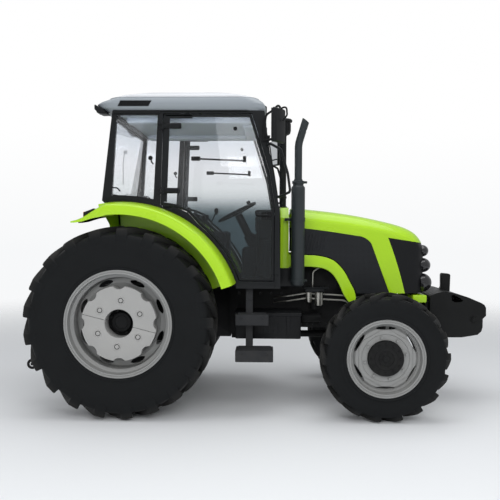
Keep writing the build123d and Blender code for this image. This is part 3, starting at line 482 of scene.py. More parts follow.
def glass(name, colour, shade, roughness=0.0, tint=()):
    """Clear pane that lets lamplight through; the tint, if any, is graded by height, and here holds painted shade of
    the cab's inside seen through the panes.
    """
    material, tree, shader = new_material(name)
    shader.inputs["Base Color"].default_value = (*colour, 1)
    shader.inputs["Roughness"].default_value = roughness
    shader.inputs["IOR"].default_value = 1.45
    shader.inputs["Metallic"].default_value = 0.0
    shader.inputs["Transmission Weight"].default_value = 1.0
    if tint:
        height = add_node(tree, "ShaderNodeSeparateXYZ", Vector=object_place(tree)).outputs["Z"]
        graded = tint[0][1]
        for (low, _), (high, above) in zip(tint, tint[1:]):
            share = add_node(tree, "ShaderNodeMapRange", {"clamp": True, "interpolation_type": "SMOOTHSTEP"},
                             Value=height, From_Min=low, From_Max=high)
            graded = mixed(tree, share.outputs[0], graded, above)
        tree.links.new(graded, shader.inputs["Base Color"])
    through = add_node(tree, "ShaderNodeBsdfTransparent")
    through.inputs[0].default_value = (*shade, 1)
    path = add_node(tree, "ShaderNodeLightPath")
    pane = add_node(tree, "ShaderNodeMixShader", _0=path.outputs["Is Shadow Ray"], _1=shader.outputs[0],
                    _2=through.outputs[0])
    tree.links.new(pane.outputs[0], tree.nodes["Material Output"].inputs["Surface"])
    return material


# columns: height, colour of the cab's glass from the sill to the roof; the pale middle rows are the glass's own tint,
# the dark rows low down are painted shade of the cab's inside, and the dimmer top row is painted shade under the
# ceiling
CAB_GLASS_SHADE = ((1.20, (0.17, 0.22, 0.24)), (1.70, (0.20, 0.25, 0.27)), (1.98, (0.84, 0.86, 0.87)),
            (2.20, (0.87, 0.88, 0.90)), (2.55, (0.78, 0.81, 0.85)))


def seat_cloth():
    """Woven cloth: two crossing threads and a soft sheen."""
    material = surface("seat_cloth", (0.035, 0.036, 0.04), 0.9, fine=900, bump=0.2, Sheen_Weight=0.4)
    tree = material.node_tree
    place = object_place(tree)
    threads = [add_node(tree, "ShaderNodeTexWave", {"bands_direction": way}, Vector=place, Scale=260.0,
                        Distortion=0.6).outputs["Fac"] for way in ("X", "Y")]
    weave = add_node(tree, "ShaderNodeMath", {"operation": "MAXIMUM"}, _0=threads[0], _1=threads[1])
    relief_of(tree, weave.outputs[0], 0.35, 0.0008)
    return material


def tyre_rubber(name, centre, radius):
    """Rubber with a little dust where it meets the ground."""
    material = surface(name, (0.0075, 0.0082, 0.0088), 0.5, fine=260, broad=5, bump=0.10, depth=0.0015, vary=0.3,
                       spread=0.16, Specular_IOR_Level=0.12)
    tree = material.node_tree
    place = object_place(tree)
    off = add_node(tree, "ShaderNodeVectorMath", {"operation": "SUBTRACT"}, _0=place, _1=tuple(centre))
    flat = add_node(tree, "ShaderNodeVectorMath", {"operation": "MULTIPLY"}, _0=off.outputs[0], _1=(1, 0, 1))
    out = add_node(tree, "ShaderNodeVectorMath", {"operation": "LENGTH"}, _0=flat.outputs[0])
    tread = add_node(tree, "ShaderNodeMapRange", {"clamp": True}, Value=out.outputs["Value"],
                     From_Min=radius * 0.90, From_Max=radius)
    patches = add_node(tree, "ShaderNodeTexNoise", Vector=place, Scale=14.0, Detail=8.0, Roughness=0.7)
    dusty = add_node(tree, "ShaderNodeMath", {"operation": "MULTIPLY"}, _0=tread.outputs[0],
                     _1=patches.outputs["Fac"])
    share = add_node(tree, "ShaderNodeMath", {"operation": "MULTIPLY"}, _0=dusty.outputs[0], _1=0.35)
    over_base(tree, share.outputs[0], (0.075, 0.07, 0.062))
    return material


def perforated(name, colour, pitch):
    """Dark panel with rows of small round holes."""
    material = surface(name, colour, 0.42, fine=500, bump=0.05, Specular_IOR_Level=0.25)
    tree = material.node_tree
    parts = add_node(tree, "ShaderNodeSeparateXYZ", Vector=object_place(tree))
    waves = []
    for axis in ("X", "Z"):
        angle = add_node(tree, "ShaderNodeMath", {"operation": "MULTIPLY"}, _0=parts.outputs[axis], _1=2 * pi / pitch)
        waves.append(add_node(tree, "ShaderNodeMath", {"operation": "COSINE"}, _0=angle.outputs[0]).outputs[0])
    both = add_node(tree, "ShaderNodeMath", {"operation": "ADD"}, _0=waves[0], _1=waves[1])
    hole = add_node(tree, "ShaderNodeMapRange", {"clamp": True}, Value=both.outputs[0], From_Min=0.5, From_Max=1.1)
    over_base(tree, hole.outputs[0], (0.004, 0.004, 0.004))
    relief_of(tree, hole.outputs[0], 0.5, 0.003, invert=True)
    return material


# Colour, or the name of the setting that holds it; roughness; and what differs from surface()'s own values.
SURFACES = {
    "paint_green": ("green", 0.30, dict(fine=180, broad=2.5, bump=0.03, vary=0.05, spread=0.08,
                                        Specular_IOR_Level=0.35, Coat_Weight=0.3, Coat_Roughness=0.08)),
    "roof_grey": ("roof", 0.38, dict(fine=500, broad=3, bump=0.04, vary=0.04)),
    # the skirt's darker grey is partly its own tone and partly painted shade of the roof's side under the lit top
    "roof_side": ((0.22, 0.245, 0.27), 0.42, dict(fine=500, broad=3, bump=0.05, vary=0.05)),
    "wheel_grey": ("wheel", 0.42, dict(fine=220, broad=7, bump=0.05, vary=0.07, dust=0.25, dust_height=1.3,
                                       Metallic=0.25)),
    "weight_grey": ((0.31, 0.31, 0.305), 0.5, dict(fine=160, broad=9, bump=0.25, vary=0.07, dust=0.2,
                                                   dust_height=1.3)),
    "cast_black": ((0.009, 0.0093, 0.0096), 0.48, dict(fine=140, broad=9, bump=0.35, depth=0.0015, vary=0.3,
                                                       spread=0.25, dust=0.06, dust_height=0.8,
                                                       Specular_IOR_Level=0.14)),
    "weight_black": ((0.0085, 0.009, 0.009), 0.38, dict(fine=160, broad=9, bump=0.25, depth=0.0012, vary=0.25,
                                                        spread=0.2, Specular_IOR_Level=0.16)),
    "black_metal": ((0.009, 0.010, 0.011), 0.32, dict(fine=300, broad=5, bump=0.08, vary=0.2, spread=0.15,
                                                      Specular_IOR_Level=0.2)),
    "black_plastic": ((0.009, 0.0095, 0.0105), 0.42, dict(fine=700, broad=5, bump=0.15, Specular_IOR_Level=0.16)),
    "step_metal": ((0.020, 0.021, 0.023), 0.5, dict(fine=300, broad=5, dust=0.10, dust_height=1.2,
                                                    Specular_IOR_Level=0.2)),
    "stack_black": ((0.018, 0.023, 0.025), 0.45, dict(fine=220, broad=7, bump=0.15, vary=0.25,
                                                      Specular_IOR_Level=0.4)),
    "rubber": ((0.008, 0.008, 0.009), 0.65, dict(fine=500, Specular_IOR_Level=0.2)),
    "steel": ((0.42, 0.42, 0.43), 0.32, dict(fine=600, broad=15, bump=0.08, Metallic=1.0)),
    "bright_steel": ((0.75, 0.75, 0.74), 0.2, dict(fine=600, broad=15, bump=0.05, Metallic=1.0)),
    "zinc": ((0.5, 0.49, 0.45), 0.38, dict(fine=600, broad=20, bump=0.08, Metallic=1.0)),
    "lamp_dark": ((0.012, 0.0125, 0.014), 0.12, dict(fine=300, bump=0.02, vary=0.1, spread=0.05, Coat_Weight=0.3)),
    "lamp_red": ((0.42, 0.012, 0.01), 0.15, dict(fine=300, bump=0.03, spread=0.05, Coat_Weight=0.6)),
    "lamp_amber": ((0.75, 0.22, 0.01), 0.15, dict(fine=300, bump=0.03, spread=0.05, Coat_Weight=0.6)),
    "mirror_glass": ((0.8, 0.82, 0.84), 0.05, dict(bump=0.0, spread=0.02, vary=0.02, Metallic=1.0)),
    "lining": ((0.70, 0.74, 0.81), 0.85, dict(fine=900, broad=4, bump=0.2)),
    "dial": ((0.45, 0.46, 0.45), 0.3, dict(fine=500, bump=0.02)),
}
OTHER_FINISHES = {
    "tyre_rear": lambda: tyre_rubber("tyre_rear", REAR, REAR_R),
    "tyre_front": lambda: tyre_rubber("tyre_front", FRONT, FRONT_R),
    # the window glass's colour, graded by height, carries painted shade of the cab's inside
    "window_glass": lambda: glass("window_glass", (0.84, 0.87, 0.89), (0.72, 0.76, 0.78), 0.0, CAB_GLASS_SHADE),
    "seat_cloth": seat_cloth,
    "mesh_black": lambda: perforated("mesh_black", (0.014, 0.0155, 0.018), 0.011),
}


def material_of(name):
    """The material of a finish, made when it is first asked for."""
    if f"{name}_finish" in bpy.data.materials:
        return bpy.data.materials[f"{name}_finish"]
    if name in OTHER_FINISHES:
        return OTHER_FINISHES[name]()
    colour, roughness, more = SURFACES[name]
    if isinstance(colour, str):
        colour = getattr(bpy.context.scene.tractor_finish, colour)
    return surface(name, colour, roughness, **more)


# ---- shapes used by several pieces --------------------------------------------------------------
def flowing(points, steps=4):
    """Points of a smooth curve through the ones given."""
    path = []
    last = len(points) - 1
    for k in range(last):
        p0, p1, p2, p3 = (points[max(k - 1, 0)], points[k], points[k + 1], points[min(k + 2, last)])
        for s in range(steps):
            t = s / steps
            path.append(tuple(0.5 * (2 * b + (c - a) * t + (2 * a - 5 * b + 4 * c - d) * t * t
                                     + (3 * b - a - 3 * c + d) * t ** 3) for a, b, c, d in zip(p0, p1, p2, p3)))
    return path + [tuple(points[-1])]


def arc(centre, radius, first, last, steps=8):
    """Side outline points on a circle, in degrees up from forward."""
    return [(centre[0] + radius * cos(radians(first + (last - first) * k / steps)),
             centre[1] + radius * sin(radians(first + (last - first) * k / steps))) for k in range(steps + 1)]


def at(x, y, z):
    """Place given by its X from the rear axle."""
    return Vector((REAR_X + x, y, z))


def from_rear(points):
    """Side outline given from the rear axle's X, in the frame's X."""
    return [(REAR_X + x, z) for x, z in points]


def inset(outline, by):
    """Clockwise side outline with its edges moved in."""
    spots = [Vector(p) for p in outline]
    moved = []
    for k, here in enumerate(spots):
        a, b = (here - spots[k - 1]).normalized(), (spots[(k + 1) % len(spots)] - here).normalized()
        a, b = Vector((a.y, -a.x)), Vector((b.y, -b.x))
        moved.append(tuple(here + (a + b) * by / (1 + a.dot(b))))
    return moved


def hex_bolts(name, places, head, out, axis="-Y"):
    """Hexagon heads with washers at the places, standing out along the axis."""
    axis = Vector(AXES[axis])
    heads = []
    for place in places:
        place = Vector(place)
        heads.append(rod(name, place, place + axis * out * 0.25, head * 1.35, sides=16))
        heads.append(rod(name, place, place + axis * out, head, head * 0.93, sides=6))
    return joined(name, heads)


def bolts_at(places, head, out, axis="-Y"):
    """Hexagon bolts at places given from the rear axle."""
    return hex_bolts("bolts", [at(*place) for place in places], head, out, axis)


def on_ring(centre, along, radius, count, first=0.0):
    """Places round a wheel's axle, at a Y."""
    angles = [first + 2 * pi * k / count for k in range(count)]
    return [(centre.x + radius * cos(a), along, centre.z + radius * sin(a)) for a in angles]


def both_sides(pieces, name):
    """Pieces made for the right side, joined with their mirror images."""
    right = joined(name, pieces)
    return joined(name, [right, mirrored(right, name)])


# ---- wheels -------------------------------------------------------------------------------------
# columns: place from the crown's middle (0) to the shoulder (1), turn back, width along the tread, drop of the top
LUG_STATIONS = ((-0.06, 0.00, 0.058, 0.000), (0.16, 0.20, 0.060, 0.001), (0.38, 0.42, 0.064, 0.003),
                (0.60, 0.64, 0.072, 0.006), (0.80, 0.83, 0.082, 0.010), (0.93, 0.95, 0.090, 0.015),
                (1.00, 1.00, 0.094, 0.022))
LUG_SWEEP = 0.205  # how far a rear lug trails from the crown to the shoulder, round the tread
# columns: half width of the tyre, radius at the bead, radius of the rim's flange, half width of the rim
WHEEL_SIZES = {"rear": (0.2335, 0.432, 0.457, 0.203), "front": (0.1425, 0.305, 0.330, 0.127)}


def tyre_profile(end, radius, lug):
    """Outline of a tyre's casing under its lugs, from the bead round to the other bead."""
    half, bead, flange, rim_half = WHEEL_SIZES[end]
    depth = radius - bead
    wall = [(rim_half - 0.0004, flange - 0.004), (rim_half + 0.010, flange + 0.010),
            (rim_half + 0.013, flange + 0.020), (rim_half + 0.006, flange + 0.030),
            (half - 0.010, bead + 0.30 * depth), (half, bead + 0.46 * depth), (half - 0.006, bead + 0.64 * depth),
            (half - 0.022, bead + 0.79 * depth), (half - 0.058, radius - lug - 0.016),
            (half * 0.5, radius - lug - 0.004), (0, radius - lug)]
    curve = [(rim_half - 0.0004, bead + 0.0004)] + flowing(wall, 3)
    ridge = [(y + (0.002 if 0.36 < (r - bead) / depth < 0.42 else 0), r) for y, r in curve]
    return ridge + [(-y, r) for y, r in reversed(ridge[:-1])]


def wheel_pair(end, piece, node, material):
    """A right wheel's piece and its mirror image, each standing for its node on its own wheel."""
    left = mirrored(piece, piece.name.replace("right", "left"))
    for one, name in ((piece, "right"), (left, "left")):
        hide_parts(f"{node}_{name}")
        dress(one, f"wheel_{end}_{name}", material, 30)


def make_tyre(end, centre, radius, lugs, lug):
    """Tyres with their chevron lugs, the left one mirrored from the right."""
    half, bead = WHEEL_SIZES[end][:2]
    y0 = centre.y
    casing = turned(f"tyre_{end}", [(y0 + y, r) for y, r in tyre_profile(end, radius, lug)], centre, 96)
    scale = half / WHEEL_SIZES["rear"][0]
    turn_back = LUG_SWEEP / radius * scale
    loops = []
    for place, back, width, drop in LUG_STATIONS:
        y_top, y_low = place * (half - 0.024), place * (half - 0.004)
        top = radius - drop * scale
        low = radius - lug - 0.012 - (0.20 * (radius - bead) if place > 0.9 else 0.03 if place > 0.75 else 0.0)
        loop = []
        for y, r, side in ((y_low, low, -1.25), (y_top, top, -1), (y_top, top, 1), (y_low, low, 1.25)):
            angle = -back * turn_back + side * width * scale / 2 / radius
            loop.append((centre.x + r * sin(angle), y0 - y, centre.z + r * cos(angle)))
        loops.append(loop)
    bar = soften(lofted("lug", loops), 0.007 * scale, 2, 40)
    across = Matrix.Translation((0, y0, 0)) @ MIRROR @ Matrix.Translation((0, -y0, 0))
    inner = copied(bar, "lug_inner", about(centre, pi / lugs) @ across)
    tread = joined(f"tyre_{end}_right_tread", [casing, ring_of(bar, lugs, centre), ring_of(inner, lugs, centre)])
    wheel_pair(end, tread, f"tyre_{end}", f"tyre_{end}")


def rim_profile(end, y0):
    """Closed outline of a wheel's rim, the outer side rolled into two rings."""
    half, bead, flange = WHEEL_SIZES[end][3], *WHEEL_SIZES[end][1:3]
    t = 0.009
    outer = [(half + 0.004, flange - 0.001), (half + 0.009, flange - 0.005), (half + 0.009, flange - 0.013),
             (half + 0.003, flange - 0.017), (half + 0.003, flange - 0.021), (half + 0.008, flange - 0.025),
             (half + 0.008, bead - t), (half - 0.055, bead - 0.006 - t), (half - 0.075, bead - 0.032 - t)]
    back = [(half - 0.004, flange - 0.002), (half - 0.0005, flange - 0.006), (half - 0.0005, bead),
            (half - 0.060, bead - 0.006), (half - 0.080, bead - 0.030)]
    inner_face = outer + [(-y, r) for y, r in reversed(outer)]
    return [(y0 - y, r) for y, r in inner_face + [(-y, r) for y, r in back] + list(reversed(back))]


def scallop(angle, outer, count, valley_r, valley_at):
    """Radius of a scalloped plate at an angle."""
    pitch = 2 * pi / count
    off = (angle + pitch / 2) % pitch - pitch / 2
    reach = valley_r ** 2 - (valley_at * sin(off)) ** 2
    return min(outer, valley_at * cos(off) - sqrt(reach)) if reach > 0 else outer


def lens_holes(centre, radius, count, length, height, y_low, y_high, first):
    """Cutter for the lens-shaped openings round a wheel's disc."""
    half = length / 2
    sag = height / 2
    points = []
    for k in range(12):
        a = 2 * pi * k / 12
        points.append((half * cos(a) * (1 - 0.12 * abs(sin(a))), sag * sin(a)))
    outline = [(centre.x + x, centre.z + radius + z - 0.35 * x * x / radius) for x, z in points]
    return ring_of(plate("hole", outline, y_low, y_high), count, centre, first=first)


class MakeRearWheels(bpy.types.Operator):
    """Rear tyres, rims, cast weights and axle ends"""
    bl_idname = "tractor.rear_wheels"
    bl_label = "Rear wheels"

    def execute(self, context):
        values = context.scene.tractor_tyres
        make_tyre("rear", REAR, REAR_R, values.rear_lugs, values.rear_depth)
        disc_back, disc_face = -0.796, -0.810
        rim = turned("rim", rim_profile("rear", REAR.y), REAR, 96)
        disc = turned("disc", [(disc_back, 0.121), (disc_face, 0.121), (disc_face, 0.322), (-0.818, 0.338),
                               (-0.812, 0.378), (-0.800, 0.3925), (-0.786, 0.3925), (-0.798, 0.374),
                               (-0.804, 0.336), (disc_back, 0.320)], REAR, 96)
        cut(disc, lens_holes(REAR, 0.356, 8, 0.135, 0.047, -0.85, -0.75, pi / 8))
        studs = hex_bolts("studs", on_ring(REAR, disc_face, 0.104 + 0.052, 8, 0.2), 0.013, 0.016)
        valve = rod("valve", (REAR.x - 0.30, -0.83, REAR.z + 0.285), (REAR.x - 0.285, -0.868, REAR.z + 0.272),
                    0.006, 0.004, 12)
        wheel = joined("wheel_rear_right_rim", [rim, disc, studs, valve])
        weight = self.weight(-0.8103, -0.9403)
        cap = turned("cap", [(disc_back - 0.030, 0.0), (disc_back - 0.030, 0.086), (disc_back - 0.044, 0.080),
                             (disc_back - 0.048, 0.060), (disc_back - 0.040, 0.052), (disc_back - 0.038, 0.0)],
                     REAR, 40)
        ring = hex_bolts("ring", on_ring(REAR, disc_face - 0.002, 0.103, 8, 0.4), 0.010, 0.012)
        end = joined("half_shaft_right_end", [eased("half_shaft_right", 0.004), cap, ring])
        wheel_pair("rear", wheel, "rim_rear", "wheel_grey")
        wheel_pair("rear", weight, "wheel_weight", "weight_grey")
        wheel_pair("rear", end, "half_shaft", "cast_black")
        return {"FINISHED"}

    def weight(self, back, face):
        """Scalloped cast weight between two Y values, in two halves, with six raised bosses."""
        outline = []
        for k in range(160):
            a = 2 * pi * k / 160
            r = scallop(a, 0.318, 8, 0.062, 0.352)
            outline.append((REAR.x + r * cos(a), REAR.z + r * sin(a)))
        weight = plate("weight", outline, face, back)
        cut(weight, rod("bore", (REAR.x, -1.0, REAR.z), (REAR.x, -0.7, REAR.z), 0.121, sides=64))
        split = box("split", (REAR.x - 0.40, -1.0, REAR.z - 0.0018), (REAR.x + 0.40, -0.7, REAR.z + 0.0018), 0)
        split.data.transform(about(REAR, radians(14)))
        cut(weight, split)
        soften(weight, 0.007, 3, 50)
        profile = [(face + 0.004, 0.0), (face + 0.004, 0.036), (face - 0.003, 0.031), (face - 0.004, 0.024),
                   (face, 0.022), (face, 0.018), (face - 0.006, 0.016), (face - 0.008, 0.0)]
        bosses = [turned("boss", profile, Vector(place), 20) for place in on_ring(REAR, face, 0.196, 6, radians(25))]
        return joined("wheel_weight_right_cast", [weight] + bosses)


class MakeFrontWheels(bpy.types.Operator):
    """Front tyres, rims and driven hubs"""
    bl_idname = "tractor.front_wheels"
    bl_label = "Front wheels"

    def execute(self, context):
        values = context.scene.tractor_tyres
        make_tyre("front", FRONT, FRONT_R, values.front_lugs, values.front_depth)
        face = -0.930  # the disc's outer side
        rim = turned("rim", rim_profile("front", FRONT.y), FRONT, 80)
        disc = turned("disc", [(face + 0.014, 0.152), (face, 0.152), (face, 0.196), (face - 0.006, 0.202),
                               (face - 0.006, 0.212), (face + 0.001, 0.218), (face + 0.001, 0.252),
                               (face + 0.016, 0.272), (face + 0.016, 0.289), (face + 0.030, 0.289),
                               (face + 0.030, 0.268), (face + 0.015, 0.248)], FRONT, 96)
        cut(disc, lens_holes(FRONT, 0.258, 6, 0.17, 0.036, -0.97, -0.86, 0.0))
        angles = [radians(60 * k + 30) + step for k in range(6) for step in (-0.16, -0.08, 0, 0.08, 0.16)]
        rib = plate("rib", [(FRONT.x + 0.238 * cos(a), FRONT.z + 0.238 * sin(a)) for a in angles],
                    face - 0.007, face + 0.002)
        cut(rib, rod("bore", (FRONT.x, -1.0, FRONT.z), (FRONT.x, -0.85, FRONT.z), 0.205, sides=64))
        soften(rib, 0.004, 2, 40)
        lugs = hex_bolts("lugs", on_ring(FRONT, face - 0.001, 0.176, 8, 0.2), 0.011, 0.016)
        wheel = joined("wheel_front_right_rim", [rim, disc, rib, lugs])
        out = -0.975  # the hub cover's outer side
        hub = turned("hub", [(-0.8857, 0.0), (-0.8857, 0.183), (-0.9153, 0.183), (-0.9155, 0.149),
                             (out + 0.014, 0.149), (out + 0.006, 0.145), (out + 0.006, 0.098), (out + 0.001, 0.092),
                             (out + 0.001, 0.066), (out + 0.008, 0.062), (out + 0.008, 0.030), (out + 0.002, 0.026),
                             (out + 0.002, 0.0)], FRONT, 64)
        bolts = hex_bolts("bolts", on_ring(FRONT, out + 0.007, 0.122, 12), 0.009, 0.009)
        small = hex_bolts("small", on_ring(FRONT, out + 0.009, 0.046, 6, 0.3), 0.006, 0.006)
        hub = joined("front_hub_right_cover", [hub, bolts, small])
        wheel_pair("front", wheel, "rim_front", "wheel_grey")
        wheel_pair("front", hub, "front_hub", "cast_black")
        return {"FINISHED"}


# ---- hood ---------------------------------------------------------------------------------------
# columns: X from the rear axle, half width, top
HOOD_STATIONS = ((1.4595, 0.405, 1.824), (1.460, 0.405, 1.824), (1.720, 0.403, 1.7995), (1.980, 0.400, 1.768),
                 (2.200, 0.394, 1.727), (2.400, 0.385, 1.682), (2.500, 0.372, 1.652), (2.570, 0.355, 1.622),
                 (2.620, 0.335, 1.590), (2.655, 0.308, 1.553), (2.684, 0.268, 1.512), (2.698, 0.225, 1.492),
                 (2.7025, 0.18, 1.484))
HOOD_LOW = 1.0373
HOOD_REAR = 1.460


def bend(start, through, end, steps=10):
    """Points of the arc from the start through a place to the end, without the start."""
    (x1, z1), (x2, z2), (x3, z3) = start, through, end
    d = 2 * (x1 * (z2 - z3) + x2 * (z3 - z1) + x3 * (z1 - z2))
    a, b, c = x1 * x1 + z1 * z1, x2 * x2 + z2 * z2, x3 * x3 + z3 * z3
    middle_of = Vector(((a * (z2 - z3) + b * (z3 - z1) + c * (z1 - z2)) / d,
                        (a * (x3 - x2) + b * (x1 - x3) + c * (x2 - x1)) / d))
    first = Vector(start) - middle_of
    turn = first.angle_signed(Vector(end) - middle_of)
    part = first.angle_signed(Vector(through) - middle_of)
    if part * turn < 0:
        turn -= 2 * pi if turn > 0 else -2 * pi
    points = []
    for k in range(1, steps + 1):
        step = first.copy()
        step.rotate(Matrix.Rotation(-turn * k / steps, 2))
        points.append((middle_of.x + step.x, middle_of.y + step.y))
    return points


# Side outlines from the rear axle: the paint's lower edge, the nose's rear edge, and the arch panel.
SWEEP = ([(HOOD_REAR, 1.640)] + bend((HOOD_REAR, 1.640), (1.780, 1.603), (2.057, 1.561))
         + bend((2.057, 1.561), (2.150, 1.530), (2.189, 1.490)) + [(2.360, HOOD_LOW)])
NOSE_EDGE = [(2.502, HOOD_LOW)] + bend((2.502, HOOD_LOW), (2.431, 1.291), (2.340, 1.545)) + [(2.720, 1.488)]
ARCH_TOP = ((1.364, 1.387), (1.600, 1.385), (1.704, 1.379), (1.807, 1.355), (1.877, 1.314), (1.946, 1.236),
            (1.999, 1.139), (2.040, 1.060), (2.058, 0.980))
ARCH_FOOT = ((1.990, 0.954), (1.942, 1.022), (1.896, 1.123), (1.843, 1.205), (1.781, 1.252), (1.705, 1.272),
             (1.584, 1.278), (1.364, 1.270))
# Side outlines of the grille, the painted shell and the dark nose.
WINDOW = (SWEEP + [(2.062, HOOD_LOW)] + [(x + 0.005, z + 0.007) for x, z in reversed(ARCH_TOP[1:7])]
          + [(HOOD_REAR, 1.395)])
PAINT = SWEEP + NOSE_EDGE + [(2.75, 1.90), (HOOD_REAR, 1.90)]
NOSE = NOSE_EDGE + [(2.760, 1.488), (2.760, HOOD_LOW)]


def hood_block(drawn_in, rear=0.0):
    """Solid under the hood's skin, drawn in from its outer face."""
    rows = []
    for x, half, top in HOOD_STATIONS:
        half -= drawn_in
        top -= drawn_in
        low = HOOD_LOW - 0.02 - drawn_in
        spots = [(0.0, top), (half * 0.42, top - 0.003), (half * 0.74, top - 0.012), (half * 0.90, top - 0.045),
                 (half * 0.985, top - 0.092), (half, top - 0.110), (half, top - 0.17), (half, (top + low) / 2),
                 (half, low + 0.002), (half, low), (half - 0.002, low), (0.0, low)]
        row = spots + [(-y, z) for y, z in reversed(spots[1:-1])]
        shift = rear if x < 1.461 else -drawn_in if x > 2.6 else 0.0
        rows.append([(REAR_X + x + shift, y, z) for y, z in row])
    block = lofted("hood_block", rows)
    return modified(block, "SUBSURF", levels=2, render_levels=2)


def hood_skin(outline, drawn_in, thick):
    """Part of the hood's shell inside a side outline."""
    skin = cut(hood_block(drawn_in), hood_block(drawn_in + thick, -0.05))
    return cut(skin, plate("slab", from_rear(outline), -0.6, 0.6), "INTERSECT")


class MakeHood(bpy.types.Operator):
    """Hood shell, its side grilles and the dark nose"""
    bl_idname = "tractor.hood"
    bl_label = "Hood"

    def execute(self, context):
        shell = soften(hood_skin(PAINT, 0.0, 0.012), 0.002, 2, 50)
        hinges = eased("hood", 0.0)
        cut(hinges, box("keep", at(1.30, -0.2, 1.60), at(1.62, 0.2, 1.811), 0), "INTERSECT")
        made("hood_shell", [shell, hinges], "hood", "paint_green", "hood", 40)
        grille = [hood_skin(WINDOW, 0.003, 0.010)]
        for side in (-1, 1):
            for k in range(9):
                x = 1.500 + 0.030 * k
                slat = box("slat", at(x, side * 0.396, 1.425), at(x + 0.012, side * 0.4035, 1.580), 0.003)
                slat.data.transform(about(at(x, 0, 1.425), radians(14)))
                grille.append(slat)
        made("side_grille_panels", grille, "hood", "mesh_black", "side_grilles", 40)
        nose = [hood_skin(NOSE, 0.002, 0.010)]
        for k in range(13):
            z = 1.067 + 0.030 * k
            nose.append(box("bar", at(2.690, -0.090, z), at(2.706, 0.090, z + 0.012), 0.003))
        made("nose_shell", nose, "hood", "black_plastic", "nose_grille", 40)
        return {"FINISHED"}


# columns: height, half height, half width, distance from the centre plane, how far it stands out
LAMPS = ((1.423, 0.055, 0.078, 0.205, 0.044), (1.290, 0.068, 0.090, 0.216, 0.063),
         (1.128, 0.086, 0.098, 0.226, 0.073))


class MakeLamps(bpy.types.Operator):
    """Stacked head and work lamps in the nose"""
    bl_idname = "tractor.lamps"
    bl_label = "Lamps"

    def execute(self, context):
        pods = []
        for z, tall, wide, y, out in LAMPS:
            leave_all()
            bpy.ops.mesh.primitive_uv_sphere_add(segments=40, ring_count=24, radius=1, location=at(2.690, -y, z),
                                                 scale=(out + 0.012, wide, tall))
            pod = settle("pod")
            pods.append(cut(pod, box("keep", at(2.660, -0.5, 0.9), at(2.9, 0.1, 1.7), 0), "INTERSECT"))
        made("headlamp_lenses", pods + [mirrored(pod, "pod") for pod in pods], "hood", "lamp_dark", "headlamps", 40)
        return {"FINISHED"}


# ---- cab ----------------------------------------------------------------------------------------
# columns: height, rear X, front X, half width, corner radius
ROOF_STATIONS = ((2.6258, -0.130, 1.222, 0.742, 0.10), (2.650, -0.205, 1.229, 0.760, 0.12),
                 (2.684, -0.236, 1.220, 0.769, 0.13), (2.705, -0.205, 1.205, 0.768, 0.14),
                 (2.726, -0.150, 1.180, 0.764, 0.15), (2.733, -0.135, 1.168, 0.757, 0.15),
                 (2.738, -0.135, 1.166, 0.757, 0.15), (2.745, -0.105, 1.150, 0.760, 0.16),
                 (2.762, -0.055, 1.095, 0.745, 0.17), (2.785, 0.090, 0.980, 0.700, 0.18),
                 (2.806, 0.260, 0.850, 0.600, 0.17), (2.819, 0.370, 0.760, 0.480, 0.15),
                 (2.825, 0.460, 0.680, 0.330, 0.12))


def rounded_rectangle(low_x, high_x, half, corner, z, steps=6):
    points = []
    for x, y, first in ((high_x - corner, half - corner, 0), (low_x + corner, half - corner, 90),
                        (low_x + corner, corner - half, 180), (high_x - corner, corner - half, 270)):
        for k in range(steps + 1):
            a = radians(first + 90 * k / steps)
            points.append((REAR_X + x + corner * cos(a), y + corner * sin(a), z))
    return points


class MakeRoof(bpy.types.Operator):
    """Roof cap and the skirt under it, in a darker grey that is partly its own tone and partly painted shade of the
    roof's side
    """
    bl_idname = "tractor.roof"
    bl_label = "Roof"

    def execute(self, context):
        rows = [rounded_rectangle(rear, front, half, corner, z) for z, rear, front, half, corner in ROOF_STATIONS]
        skirt = lofted("roof_skirt", rows[:7])
        cap = lofted("roof_cap", rows[6:])
        cap.data.transform(Matrix.Translation((0, 0, 0.0005)))
        soften(skirt, 0.003, 2, 25)
        # the skirt's darker grey is partly painted shade of the roof's side
        dress(skirt, "chassis", "roof_side", 45)
        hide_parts("roof")
        dress(cap, "chassis", "roof_grey", 60)
        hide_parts("roof")
        vents, lamps, lenses = [], [], []
        for side in (-1, 1):
            y = side * 0.765
            vent = plate("vent", from_rear([(-0.036, 2.659), (0.226, 2.659), (0.256, 2.706), (-0.011, 2.707)]),
                         y, y + side * 0.009)
            vents.append(soften(vent, 0.004))
            for k in range(5):
                vents.append(box("slat", at(-0.015, y + side * 0.006, 2.664 + 0.009 * k),
                                 at(0.232, y + side * 0.0125, 2.668 + 0.009 * k), 0.001))
            vents.append(plate("rail", from_rear([(-0.080, 2.602), (0.320, 2.602), (0.320, 2.628), (-0.080, 2.628)]),
                               side * 0.742, side * 0.752))
            vents.append(pipe("gutter", [at(-0.05, side * 0.748, 2.622), at(1.06, side * 0.748, 2.622),
                                         at(1.13, side * 0.72, 2.622)], 0.006, 0.05))
            rear = plate("rear", from_rear([(-0.246, 2.684), (-0.160, 2.640), (-0.140, 2.606), (-0.205, 2.604),
                                            (-0.246, 2.640)]), side * 0.58, side * 0.735)
            lamps.append(soften(rear, 0.010, 3))
            lenses.append(box("lens", at(-0.236, side * 0.595, 2.612), at(-0.219, side * 0.72, 2.668), 0.006, 3))
            lenses[-1].data.transform(about(at(-0.228, 0, 2.640), radians(-18)))
            lamps.append(box("front", at(1.196, side * 0.50, 2.634), at(1.232, side * 0.66, 2.682), 0.012, 3))
            lenses.append(box("lens", at(1.228, side * 0.512, 2.641), at(1.2345, side * 0.648, 2.675), 0.003, 2))
        made("roof_vents", vents, "chassis", "black_plastic")
        made("roof_lamps", lamps, "chassis", "black_plastic")
        made("roof_lamp_lenses", lenses, "chassis", "lamp_dark")
        return {"FINISHED"}


